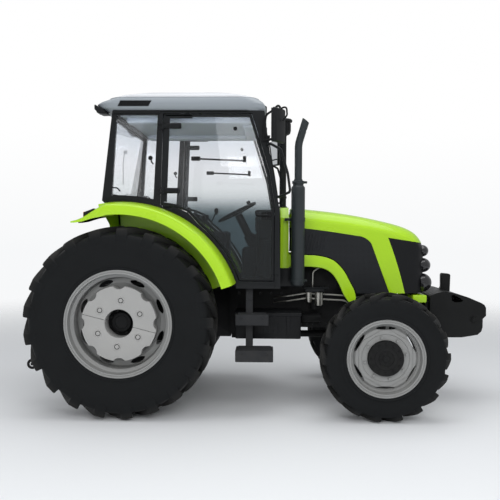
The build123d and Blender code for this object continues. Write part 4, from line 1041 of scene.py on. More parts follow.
# Side outline of a door from the rear axle: roof, front pillar, sill, then back up over the rear tyre.
DOOR = ([(0.352, 2.598), (1.104, 2.598), (1.172, 2.380), (1.252, 2.123), (1.302, 1.837), (1.302, 1.172)]
        + arc((0.0, 0.820), 1.062, 19.36, 52, 14) + [(0.560, 1.762), (0.440, 1.810), (0.322, 1.828)])
DOOR_GAP = 0.004
DOOR_RIM = 0.024
HINGES = (1.945, 2.495)  # heights of the hinges at the rear pillar


class MakeCab(bpy.types.Operator):
    """Cab frame, doors and panes"""
    bl_idname = "tractor.cab"
    bl_label = "Cab"

    def execute(self, context):
        posts = eased("cab_frame", 0.0)
        for side in (-1, 1):
            cut(posts, plate("opening", from_rear(inset(DOOR, -DOOR_GAP)), side * 0.68, side * 0.7412))
        soften(posts, 0.006, 2, 50)
        dress(posts, "chassis", "black_metal")
        knob = turned("knob", [(-0.742, 0.0), (-0.742, 0.010), (-0.752, 0.012), (-0.758, 0.019), (-0.766, 0.019),
                               (-0.771, 0.013), (-0.772, 0.0)], at(0.242, 0, 2.222), 24)
        arm = pipe("arm", [at(0.242, -0.735, 2.222), at(0.247, -0.738, 2.19), at(0.262, -0.738, 2.172)], 0.006, 0.01)
        wand = pipe("wand", [at(-0.10, -0.735, 1.972), at(-0.05, -0.742, 1.968), at(-0.025, -0.742, 1.94)],
                    0.006, 0.02)
        trim = [knob, arm, wand]
        for z in HINGES:
            trim.append(bolts_at([(0.312, -0.755, z + 0.021), (0.312, -0.755, z - 0.021)], 0.006, 0.006))
        dress(both_sides(trim, "cab_fittings"), "chassis", "black_plastic")
        lining = [box("ceiling", at(-0.07, -0.685, 2.588), at(1.185, 0.685, 2.612), 0.012, 3)]
        for side in (-1, 1):
            y = side * 0.52
            lining.append(box("duct", at(0.0, y - 0.07, 2.545), at(1.10, y + 0.07, 2.595), 0.02, 4))
        lining.append(box("front", at(1.02, -0.45, 2.53), at(1.145, 0.45, 2.596), 0.02, 4))
        made("headlining", lining, "chassis", "lining")
        for name, side in SIDES:
            self.door(name, side)
        screen = pipe("screen_seal", [at(1.186, 0.0, 2.568), at(1.186, -0.675, 2.568), at(1.243, -0.675, 2.215),
                                      at(1.318, -0.675, 1.812), at(1.318, 0.0, 1.812)], 0.009, 0.05, 2)
        back = pipe("back_seal", [at(-0.075, 0.0, 2.555), at(-0.075, -0.675, 2.555), at(-0.160, -0.675, 1.925),
                                  at(-0.160, 0.0, 1.925)], 0.009, 0.05, 2)
        dress(both_sides([screen, back], "pane_seals"), "chassis", "rubber")
        dress(eased("cab_windows", 0.0), "chassis", "window_glass")
        wiper = [rod("hub", at(1.262, 0.0, 2.50), at(1.222, 0.0, 2.51), 0.022, 0.016, 24),
                 pipe("arm", [at(1.24, 0.0, 2.505), at(1.262, -0.02, 2.42), at(1.300, -0.16, 2.13)], 0.006, 0.03),
                 pipe("blade", [at(1.268, -0.26, 2.30), at(1.303, -0.16, 2.13), at(1.337, -0.06, 1.93)], 0.008, 0.3)]
        rear_wiper = [rod("hub", at(-0.126, 0.0, 2.36), at(-0.156, 0.0, 2.36), 0.018, 0.014, 24),
                      pipe("arm", [at(-0.150, 0.0, 2.36), at(-0.170, 0.03, 2.26), at(-0.196, 0.14, 2.06)],
                           0.005, 0.03)]
        made("wipers", wiper + rear_wiper, "chassis", "black_plastic")
        return {"FINISHED"}

    def door(self, name, side):
        """One door: its ring cut from the outline, the hinges, the pane and the fittings."""
        body = f"door_{name}"
        ring = plate("ring", from_rear(DOOR), side * 0.706, side * 0.736)
        cut(ring, plate("hole", from_rear(inset(DOOR, DOOR_RIM)), -0.8, 0.8))
        soften(ring, 0.006, 3, 50)
        hinges = eased(body, 0.0)
        cut(hinges, box("keep", at(0.20, side * 0.7355, 1.85), at(0.60, side * 0.80, 2.59), 0), "INTERSECT")
        made(f"door_frame_{name}", [ring, hinges], body, "black_metal", body)
        pane = plate(f"door_pane_{name}", from_rear(inset(DOOR, DOOR_RIM - 0.004)), side * 0.716, side * 0.722)
        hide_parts(f"door_glass_{name}")
        dress(pane, body, "window_glass")
        inner = side * 0.700
        strut = [pipe("bar", [at(0.60, side * 0.716, 2.222), at(0.63, inner, 2.222), at(1.02, inner, 2.205),
                              at(1.05, side * 0.716, 2.205)], 0.008, 0.015),
                 box("mount", at(0.585, side * 0.700, 2.203), at(0.665, side * 0.716, 2.241), 0.006),
                 box("catch", at(1.030, side * 0.700, 2.19), at(1.060, side * 0.716, 2.245), 0.005),
                 box("latch", at(1.185, side * 0.690, 1.70), at(1.272, side * 0.716, 1.775), 0.008),
                 box("lock", at(1.236, side * 0.722, 1.705), at(1.284, side * 0.740, 1.768), 0.006),
                 pipe("handle", [at(1.262, side * 0.738, 1.736), at(1.262, side * 0.768, 1.736),
                                 at(1.155, side * 0.772, 1.736), at(1.150, side * 0.762, 1.736)], 0.009, 0.015),
                 rod("stud", at(0.965, side * 0.735, 2.475), at(0.965, side * 0.700, 2.475), 0.017, 0.014, 20)]
        for z, x in zip(HINGES, (0.356, 0.378)):
            strut.append(box("strap", at(x, side * 0.7345, z - 0.024), at(x + 0.128, side * 0.7585, z + 0.024),
                             0.011, 4))
            strut.append(bolts_at([(x + 0.03, side * 0.7585, z), (x + 0.10, side * 0.7585, z)], 0.008, 0.005,
                                  "-Y" if side < 0 else "Y"))
        made(f"door_fittings_{name}", strut, body, "black_plastic")


CONSOLE_TOP = 1.59
# columns: X from the rear axle, Y, height above the console, lean forward
LEVERS = ((0.40, -0.42, 0.17, 0.03), (0.47, -0.36, 0.20, 0.05), (0.55, -0.42, 0.15, 0.04), (0.64, -0.36, 0.13, 0.02),
          (0.72, -0.42, 0.19, 0.06), (0.45, 0.39, 0.18, 0.05), (0.58, 0.39, 0.15, 0.04))
SWELL = 0.016  # how far a cushion's surface may move when blown up
SEAM = 0.02    # half width of a sewn channel
CLOTH_FRAMES = 12


class MakeInterior(bpy.types.Operator):
    """Seat, dash, steering wheel, consoles, levers and pedals"""
    bl_idname = "tractor.interior"
    bl_label = "Cab interior"

    def execute(self, context):
        dress(eased("cab_floor", 0.005), "chassis", "black_metal")
        mat = [box("mat", at(0.96, -0.60, 1.156), at(1.30, 0.60, 1.166), 0.004),
               box("mat", at(0.30, -0.48, 1.156), at(0.97, 0.48, 1.166), 0.004)]
        mat += [box("rib", at(0.33 + 0.045 * k, -0.46, 1.165), at(0.35 + 0.045 * k, 0.46, 1.171), 0.002)
                for k in range(14)]
        made("floor_mat", mat, "chassis", "rubber")
        self.seat()
        self.dash()
        covers = []
        for side in (-1, 1):
            covers.append(box("console", at(-0.06, side * 0.285, 1.341), at(0.86, side * 0.498, 1.590), 0.022, 4))
            covers.append(box("plate", at(0.28, side * 0.39 - 0.075, 1.588), at(0.84, side * 0.39 + 0.075, 1.598)))
            covers.append(box("pad", at(-0.03, side * 0.385 - 0.07, 1.588), at(0.25, side * 0.385 + 0.07, 1.628),
                              0.018, 4))
        made("side_consoles", covers, "chassis", "black_plastic")
        levers = []
        for x, y, tall, lean in LEVERS:
            top = CONSOLE_TOP + tall
            levers.append(pipe("stem", [at(x, y, CONSOLE_TOP), at(x + 0.3 * lean, y, CONSOLE_TOP + 0.5 * tall),
                                        at(x + lean, y, top)], 0.006, 0.04))
            levers.append(turned("grip", [(top - 0.03, 0.0), (top - 0.03, 0.011), (top, 0.020), (top + 0.022, 0.017),
                                          (top + 0.030, 0.0)], at(x + lean, y, 0), 20, "Z"))
        x = 1.235
        for y in (-0.24, -0.34, 0.27):
            levers.append(pipe("pedal_arm", [at(x + 0.075, y, 1.50), at(x + 0.02, y, 1.42), at(x - 0.09, y, 1.235)],
                               0.010, 0.05))
            levers.append(box("pedal", at(x - 0.125, y - 0.035, 1.215), at(x - 0.105, y + 0.035, 1.295), 0.006))
        made("levers_and_pedals", levers, "chassis", "black_plastic")
        return {"FINISHED"}

    def seat(self):
        """Sprung base with bellows and arm rests, and the two cushions."""
        base = [box("suspension", at(0.30, -0.20, 1.168), at(0.60, 0.20, 1.215), 0.01),
                box("frame", at(0.17, -0.235, 1.438), at(0.63, 0.235, 1.470), 0.010)]
        for k in range(6):
            z = 1.215 + 0.037 * k
            base.append(box("bellows", at(0.315, -0.175, z), at(0.585, 0.175, z + 0.033), 0.014, 3))
        for side in (-1, 1):
            y = side * 0.262
            base.append(box("rest", at(0.16, y - 0.022, 1.71), at(0.46, y + 0.022, 1.755), 0.016, 4))
            base.append(pipe("rest_arm", [at(0.125, y, 1.60), at(0.13, y, 1.70), at(0.20, y, 1.725)], 0.011, 0.03))
        base.append(box("shell", at(0.020, -0.205, 1.50), at(0.055, 0.205, 1.905), 0.016, 4))
        made("seat_base", base, "chassis", "black_plastic")
        cushions = (("seat_cushion", at(0.150, -0.243, 1.470), at(0.640, 0.243, 1.560), 0.0),
                    ("seat_back", at(0.060, -0.222, 1.520), at(0.165, 0.222, 1.925), radians(-8)))
        for name, low, high, tilt in cushions:
            piece = self.cushion(name, low, high, tilt)
            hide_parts("seat")
            dress(piece, "chassis", "seat_cloth", 60)

    def cushion(self, name, low, high, tilt):
        """Padded block blown up as cloth with its seams held in."""
        piece = box(name, low, high, 0.022, 3)
        modified(piece, "REMESH", mode="VOXEL", voxel_size=0.012)
        flat = [vertex.co.copy() for vertex in piece.data.vertices]
        only(piece)
        bpy.ops.object.modifier_add(type="CLOTH")
        cloth = piece.modifiers[-1]
        cloth.settings.use_pressure = True
        cloth.settings.uniform_pressure_force = 4.0
        cloth.settings.effector_weights.gravity = 0.0
        cloth.settings.tension_stiffness = 30
        cloth.settings.compression_stiffness = 30
        cloth.settings.bending_stiffness = 1.0
        scene = bpy.context.scene
        for frame_at in range(1, CLOTH_FRAMES + 1):
            scene.frame_set(frame_at)
        bpy.ops.object.modifier_apply(modifier=cloth.name)
        scene.frame_set(1)
        for vertex, before in zip(piece.data.vertices, flat):
            moved = vertex.co - before
            if moved.length > SWELL:
                vertex.co = before + moved.normalized() * SWELL
        centre, half = (low + high) / 2, (high - low) / 2
        along, out = (2, 0) if half.z > half.x else (0, 2)  # axis across the channels, and out of the cushion
        for vertex in piece.data.vertices:
            off = vertex.co - centre
            for line in (-0.5, 0.5):
                near = abs(off[along] / half[along] - line) * half[along]
                if off[out] > 0 and near < SEAM:
                    vertex.co[out] -= 0.007 * (1 - near / SEAM) ** 2
        piece.data.transform(about(Vector((low.x, 0, low.z)), tilt))
        modified(piece, "SMOOTH", factor=0.5, iterations=2)
        modified(piece, "SUBSURF", levels=1, render_levels=1)
        piece.name = piece.data.name = name
        return piece

    def dash(self):
        """Dash, column cover, side pod, column and dials, and the steering wheel."""
        parts = [box("block", at(1.140, -0.24, 1.156), at(1.3155, 0.24, 1.765), 0.035, 4),
                 box("cover", at(1.000, -0.115, 1.156), at(1.150, 0.115, 1.450), 0.030, 4),
                 box("hood", at(1.125, -0.20, 1.735), at(1.300, 0.20, 1.802), 0.025, 4),
                 box("panel", at(1.128, -0.165, 1.60), at(1.142, 0.165, 1.735), 0.006),
                 box("pod", at(1.165, -0.60, 1.52), at(1.290, -0.46, 1.775), 0.022, 4),
                 box("leg", at(1.215, -0.56, 1.160), at(1.285, -0.50, 1.53), 0.012)]
        for k in range(5):
            parts.append(box("switch", at(1.120, -0.145 + 0.062 * k, 1.53), at(1.142, -0.113 + 0.062 * k, 1.575)))
        for y in (-0.57, -0.53, -0.49):
            parts.append(box("button", at(1.158, y - 0.013, 1.62), at(1.168, y + 0.013, 1.66), 0.003))
        parts += [rod("column", at(1.195, 0, 1.300), at(0.962, 0, 1.757), 0.038, sides=40),
                  pipe("boot", [at(1.150, 0, 1.388), at(1.06, 0, 1.564)], 0.055, 0.01),
                  pipe("stalk", [at(1.02, 0.03, 1.67), at(1.00, 0.12, 1.71), at(0.99, 0.17, 1.73)], 0.007, 0.02)]
        made("dash_housing", parts, "chassis", "black_plastic", "dash_console")
        dials = [rod("dial", at(1.131, y, 1.668), at(1.124, y, 1.668), radius, sides=40)
                 for y, radius in ((-0.105, 0.036), (0.0, 0.046), (0.105, 0.036))]
        made("dash_dials", dials, "chassis", "dial")
        wheel = eased("steering_wheel", 0.0)
        along = Vector((-0.4549, 0, 0.8905))
        hub = at(0.960, 0, 1.760) + along * 0.025
        cap = rod("cap", hub - along * 0.024, hub + along * 0.022, 0.062, 0.040, 40, 0.006)
        spinner = rod("spinner", hub + Vector((0.12, 0.14, 0.065)), hub + Vector((0.10, 0.14, 0.115)), 0.016, 0.020,
                      20, 0.005)
        made("steering_wheel_rim", [wheel, cap, spinner], "steering_wheel", "black_plastic")


# Section of a fender outside the cab, columns: distance from the centre plane, radius about the rear axle
FENDER = ((0.500, 0.640), (0.500, 1.026), (0.504, 1.030), (0.750, 1.030), (0.810, 1.0275), (0.865, 1.022),
          (0.910, 1.015), (0.942, 1.008), (0.960, 0.998), (0.970, 0.984), (0.970, 0.915), (0.962, 0.915),
          (0.962, 0.980), (0.954, 0.991), (0.938, 1.000), (0.860, 1.014), (0.750, 1.022), (0.508, 1.022),
          (0.508, 0.640))


FENDER_IN = ((0.5, 0.64), (0.5, 1.030), (0.75, 1.030), (0.75, 0.915), (0.742, 0.915), (0.742, 1.022),
             (0.508, 1.022), (0.508, 0.64))
FENDER_ENDS = (19, 96)  # degrees up from forward
CROWN = 1.030
LIP = 0.915
# Steps of the tail behind the section's last turn, columns: X, Z, share of its depth
FENDER_TAIL = ((-0.055, -0.030, 0.88), (-0.110, -0.066, 0.66), (-0.195, -0.128, 0.36), (-0.245, -0.150, 0.24),
               (-0.285, -0.162, 0.15))


def round_axle(section, side, angle, shift=(0, 0)):
    """Row of a fender's section at an angle about the rear axle."""
    a = radians(angle)
    return [(REAR.x + shift[0] + r * cos(a), side * y, REAR.z + shift[1] + r * sin(a)) for y, r in section]


class MakeFenders(bpy.types.Operator):
    """Rear fenders and the tail lamps"""
    bl_idname = "tractor.fenders"
    bl_label = "Fenders"

    def execute(self, context):
        skins = []
        first, last = FENDER_ENDS
        for side in (-1, 1):
            rows = [round_axle(FENDER, side, first + (last - first) * k / 30) for k in range(31)]
            for dx, dz, share in FENDER_TAIL:
                section = [(max(y, 0.742), CROWN - (CROWN - max(r, LIP)) * share) for y, r in FENDER]
                rows.append(round_axle(section, side, last, (dx, dz)))
            skins.append(lofted("skin", rows))
            skins.append(lofted("end", [round_axle(FENDER_IN, side, a) for a in (95, 97, 99, 100.5, 102)]))
        made("fender_shells", skins, "chassis", "paint_green", "fenders", 40)
        seals = []
        for side in (-1, 1):
            around = [round_axle([(0.743, CROWN + 0.004)], side, angle)[0] for angle in range(24, 97, 6)]
            seals.append(pipe("seal", around, 0.007, 0.2))
        made("fender_seals", seals, "chassis", "rubber")
        lamps, ambers, bases = [], [], []
        for side in (-1, 1):
            lamps.append(box("lens", at(-0.292, side * 0.862, 1.706), at(-0.205, side * 0.915, 1.758), 0.008, 3))
            ambers.append(box("lens", at(-0.292, side * 0.917, 1.706), at(-0.205, side * 0.948, 1.758), 0.008, 3))
            base = from_rear([(-0.288, 1.700), (-0.288, 1.752), (-0.203, 1.785), (-0.203, 1.722)])
            bases.append(plate("base", base, side * 0.860, side * 0.950))
        made("tail_lamp_red", lamps, "chassis", "lamp_red", "tail_lamps", 40)
        made("tail_lamp_amber", ambers, "chassis", "lamp_amber", "tail_lamps", 40)
        made("tail_lamp_bases", bases, "chassis", "black_plastic", "tail_lamps", 40)
        return {"FINISHED"}


class MakeBody(bpy.types.Operator):
    """Cowl, lower panels, exhaust, air intake, mirrors, steps, tank and battery box"""
    bl_idname = "tractor.body"
    bl_label = "Body"

    def execute(self, context):
        dress(eased("cowl", 0.005), "chassis", "paint_green")
        arches = [box("valance", at(2.578, -0.360, 0.951), at(2.706, 0.360, 1.020), 0.012, 3)]
        for side in (-1, 1):
            arch = plate("arch", from_rear(flowing(ARCH_TOP, 3) + flowing(ARCH_FOOT, 3)), side * 0.380, side * 0.403)
            arches.append(soften(arch, 0.009, 3, 40))
            for x in (1.500, 1.760):
                arches.append(box("bracket", at(x, side * 0.231, 1.285), at(x + 0.040, side * 0.385, 1.310), 0.003))
        made("wheel_arch_panels", arches, "chassis", "paint_green", "lower_panels", 40)
        self.exhaust()
        self.intake()
        self.mirrors()
        self.steps()
        self.boxes()
        return {"FINISHED"}

    def exhaust(self):
        """Silencer with its collar, slash-cut tail, elbow to the engine, bands and stay."""
        foot = at(1.515, -0.520, 0)
        can = turned("can", [(1.110, 0.0), (1.110, 0.036), (1.114, 0.050), (1.124, 0.059), (1.136, 0.061),
                             (1.982, 0.061), (1.994, 0.058), (2.000, 0.050), (2.006, 0.047), (2.020, 0.047),
                             (2.022, 0.054), (2.046, 0.054), (2.048, 0.040), (2.060, 0.038), (2.062, 0.0)],
                     foot, 48, "Z")
        tail = pipe("tail", [at(1.515, -0.52, 2.05), at(1.515, -0.52, 2.37), at(1.585, -0.52, 2.60)], 0.0335, 0.25, 6)
        knife = box("knife", at(1.40, -0.62, 2.575), at(1.75, -0.42, 2.80), 0)
        knife.data.transform(about(at(1.58, -0.52, 2.575), radians(38)))
        cut(tail, knife)
        bore = pipe("bore", [at(1.555, -0.52, 2.485), at(1.592, -0.52, 2.625)], 0.0295, 0.01, 6)
        cut(tail, bore)
        parts = [can, tail, rod("elbow", at(1.515, -0.52, 1.18), at(1.515, -0.262, 1.18), 0.030, sides=32),
                 rod("flange", at(1.515, -0.262, 1.18), at(1.515, -0.2305, 1.18), 0.052, sides=32, edge=0.004),
                 turned("band", [(1.152, 0.0605), (1.152, 0.0685), (1.172, 0.0685), (1.172, 0.0605)], foot, 48, "Z"),
                 turned("band", [(1.690, 0.0605), (1.690, 0.0655), (1.722, 0.0655), (1.722, 0.0605)], foot, 48, "Z"),
                 box("bracket", at(1.405, -0.466, 1.694), at(1.515, -0.452, 1.718), 0.003),
                 box("bracket", at(1.400, -0.466, 1.694), at(1.416, -0.398, 1.718), 0.003),
                 box("ear", at(1.556, -0.532, 2.024), at(1.594, -0.508, 2.044), 0.003),
                 box("ear", at(1.563, -0.532, 1.154), at(1.600, -0.508, 1.170), 0.003),
                 rod("bolt", at(1.580, -0.545, 2.034), at(1.580, -0.495, 2.034), 0.006, sides=6),
                 rod("bolt", at(1.590, -0.545, 1.162), at(1.590, -0.495, 1.162), 0.006, sides=6)]
        made("exhaust_pipe", parts, "chassis", "stack_black", "exhaust_stack", 40)

    def intake(self):
        """Air pre-cleaner on its stem, with vanes under the brim."""
        foot = at(1.396, 0.275, 0)
        stem = turned("stem", [(1.8325, 0.0), (1.8325, 0.046), (1.848, 0.046), (1.852, 0.034), (1.930, 0.034),
                               (1.932, 0.039), (1.950, 0.039), (1.952, 0.034), (2.548, 0.034), (2.560, 0.040),
                               (2.566, 0.058), (2.578, 0.072), (2.590, 0.0745), (2.688, 0.0745), (2.690, 0.088),
                               (2.700, 0.0925), (2.712, 0.090), (2.720, 0.080), (2.727, 0.040), (2.728, 0.0)],
                      foot, 48, "Z")
        vanes = []
        for k in range(18):
            vane = box("vane", at(1.396 + 0.0735, 0.270, 2.600), at(1.396 + 0.0775, 0.280, 2.675), 0.001)
            vane.data.transform(about(foot, 2 * pi * k / 18, "Z"))
            vanes.append(vane)
        made("air_pre_cleaner", [stem] + vanes, "chassis", "black_plastic", "air_intake", 35)

    def mirrors(self):
        """Mirror heads turned to the driver, on bent arms with a stay."""
        centre = at(1.331, -0.965, 2.464)
        turn = about(centre, radians(-30), "Z")
        head = box("head", centre - Vector((0.022, 0.088, 0.140)), centre + Vector((0.022, 0.088, 0.140)), 0.019, 4)
        lip = box("lip", centre - Vector((0.025, 0.082, 0.134)), centre - Vector((0.016, -0.082, -0.134)), 0.004)
        pane = box("pane", centre - Vector((0.027, 0.075, 0.127)), centre - Vector((0.024, -0.075, -0.127)), 0.001)
        for piece in (head, lip, pane):
            piece.data.transform(turn)
        arm = pipe("arm", [at(1.212, -0.752, 2.40), at(1.212, -0.79, 2.47), at(1.228, -0.815, 2.575),
                           at(1.285, -0.865, 2.605), at(1.330, -0.915, 2.640), at(1.352, -0.930, 2.600),
                           at(1.350, -0.940, 2.46)], 0.0095, 0.045)
        stay = pipe("stay", [at(1.230, -0.752, 2.378), at(1.30, -0.86, 2.375), at(1.352, -0.935, 2.40)], 0.007, 0.03)
        loop = pipe("loop", [at(1.350, -0.952, 2.550), at(1.352, -0.955, 2.608), at(1.395, -0.975, 2.612),
                             at(1.400, -0.978, 2.545), at(1.365, -0.968, 2.500)], 0.0075, 0.03)
        foot = box("foot", at(1.190, -0.7405, 2.362), at(1.236, -0.754, 2.440), 0.005)
        bolts = bolts_at([(1.203, -0.754, 2.376), (1.223, -0.754, 2.376), (1.203, -0.754, 2.426)], 0.006, 0.006)
        black = both_sides([head, lip, arm, stay, loop, foot, bolts], "mirror_heads")
        glass_of = both_sides([pane], "mirror_panes")
        for piece, material in ((black, "black_plastic"), (glass_of, "mirror_glass")):
            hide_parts("mirrors")
            dress(piece, "chassis", material, 40)

    def steps(self):
        """Step frames with their treads and bolts."""
        steps = eased("steps", 0.006)
        bars = []
        for low, high, far, top in ((0.975, 1.298, 0.880, 0.590), (0.972, 1.258, 0.790, 0.885)):
            for k in range(6):
                y = 0.672 + (far - 0.690) * k / 5
                bars.append(box("tread", at(low + 0.02, -y - 0.006, top - 0.001),
                                at(high - 0.02, -y + 0.006, top + 0.006), 0.002))
            bars.append(bolts_at([(low + 0.05, -far, top - 0.03), (high - 0.05, -far, top - 0.03)], 0.008, 0.007))
        bars.append(bolts_at([(x, -0.680, z) for z in (1.06, 1.00) for x in (1.074, 1.104)], 0.008, 0.007))
        treads = both_sides(bars, "treads")
        made("step_frames", [steps, treads], "chassis", "step_metal")

    def boxes(self):
        """Battery case with lid, straps and slots, and the tank with straps and filler."""
        battery = [eased("battery_box", 0.012),
                   box("lid", at(0.956, -0.606, 0.846), at(1.551, -0.232, 0.878), 0.008, 3)]
        for x in (1.08, 1.42):
            battery.append(box("strap", at(x, -0.607, 0.660), at(x + 0.030, -0.600, 0.850), 0.002))
            battery.append(box("latch", at(x - 0.004, -0.614, 0.800), at(x + 0.034, -0.606, 0.845), 0.004))
        for k in range(5):
            x = 1.16 + 0.045 * k
            battery.append(box("slot", at(x, -0.603, 0.700), at(x + 0.02, -0.599, 0.800), 0.002))
        made("battery_case", battery, "chassis", "black_plastic")
        tank = [eased("fuel_tank", 0.045, name="tank_shell")]
        for x in (1.02, 1.42):
            tank.append(box("strap", at(x, 0.24, 0.928), at(x + 0.04, 0.604, 0.934), 0.002))
            tank.append(box("strap", at(x, 0.598, 0.62), at(x + 0.04, 0.605, 0.932), 0.002))
        tank.append(turned("neck", [(0.925, 0.0), (0.925, 0.040), (0.955, 0.040), (0.957, 0.050), (0.985, 0.050),
                                    (0.990, 0.044), (0.990, 0.0)], at(1.22, 0.48, 0), 40, "Z"))
        made("tank_and_straps", tank, "chassis", "black_plastic")


WHEELBASE = 2.235
# columns: X from the rear axle, Y, low end, height of the shoulder, radius, radius of the neck
FILTERS = ((1.715, -0.395, 0.925, 0.935, 0.036, 0.030), (1.625, -0.392, 0.955, 0.963, 0.030, 0.026))
# Side outlines from the front axle's X.
WEIGHT_PLATE = ((0.5004, 0.863), (0.5004, 1.012), (0.560, 1.040), (0.608, 1.052), (0.650, 1.052), (0.704, 1.044),
                (0.847, 1.003), (0.968, 0.952), (0.996, 0.934), (1.010, 0.909), (1.012, 0.834), (0.983, 0.806),
                (0.983, 0.730), (0.973, 0.692), (0.939, 0.659), (0.795, 0.634), (0.664, 0.633), (0.560, 0.700))
WEIGHT_HOLE = ((0.692, 1.021), (0.720, 1.024), (0.782, 0.990), (0.800, 0.972), (0.785, 0.958), (0.729, 0.955),
               (0.700, 0.972))
TOW_POST = ((0.640, 1.00), (0.684, 1.070), (0.682, 1.190), (0.692, 1.204), (0.760, 1.198), (0.772, 1.186),
            (0.768, 1.020), (0.80, 0.990))


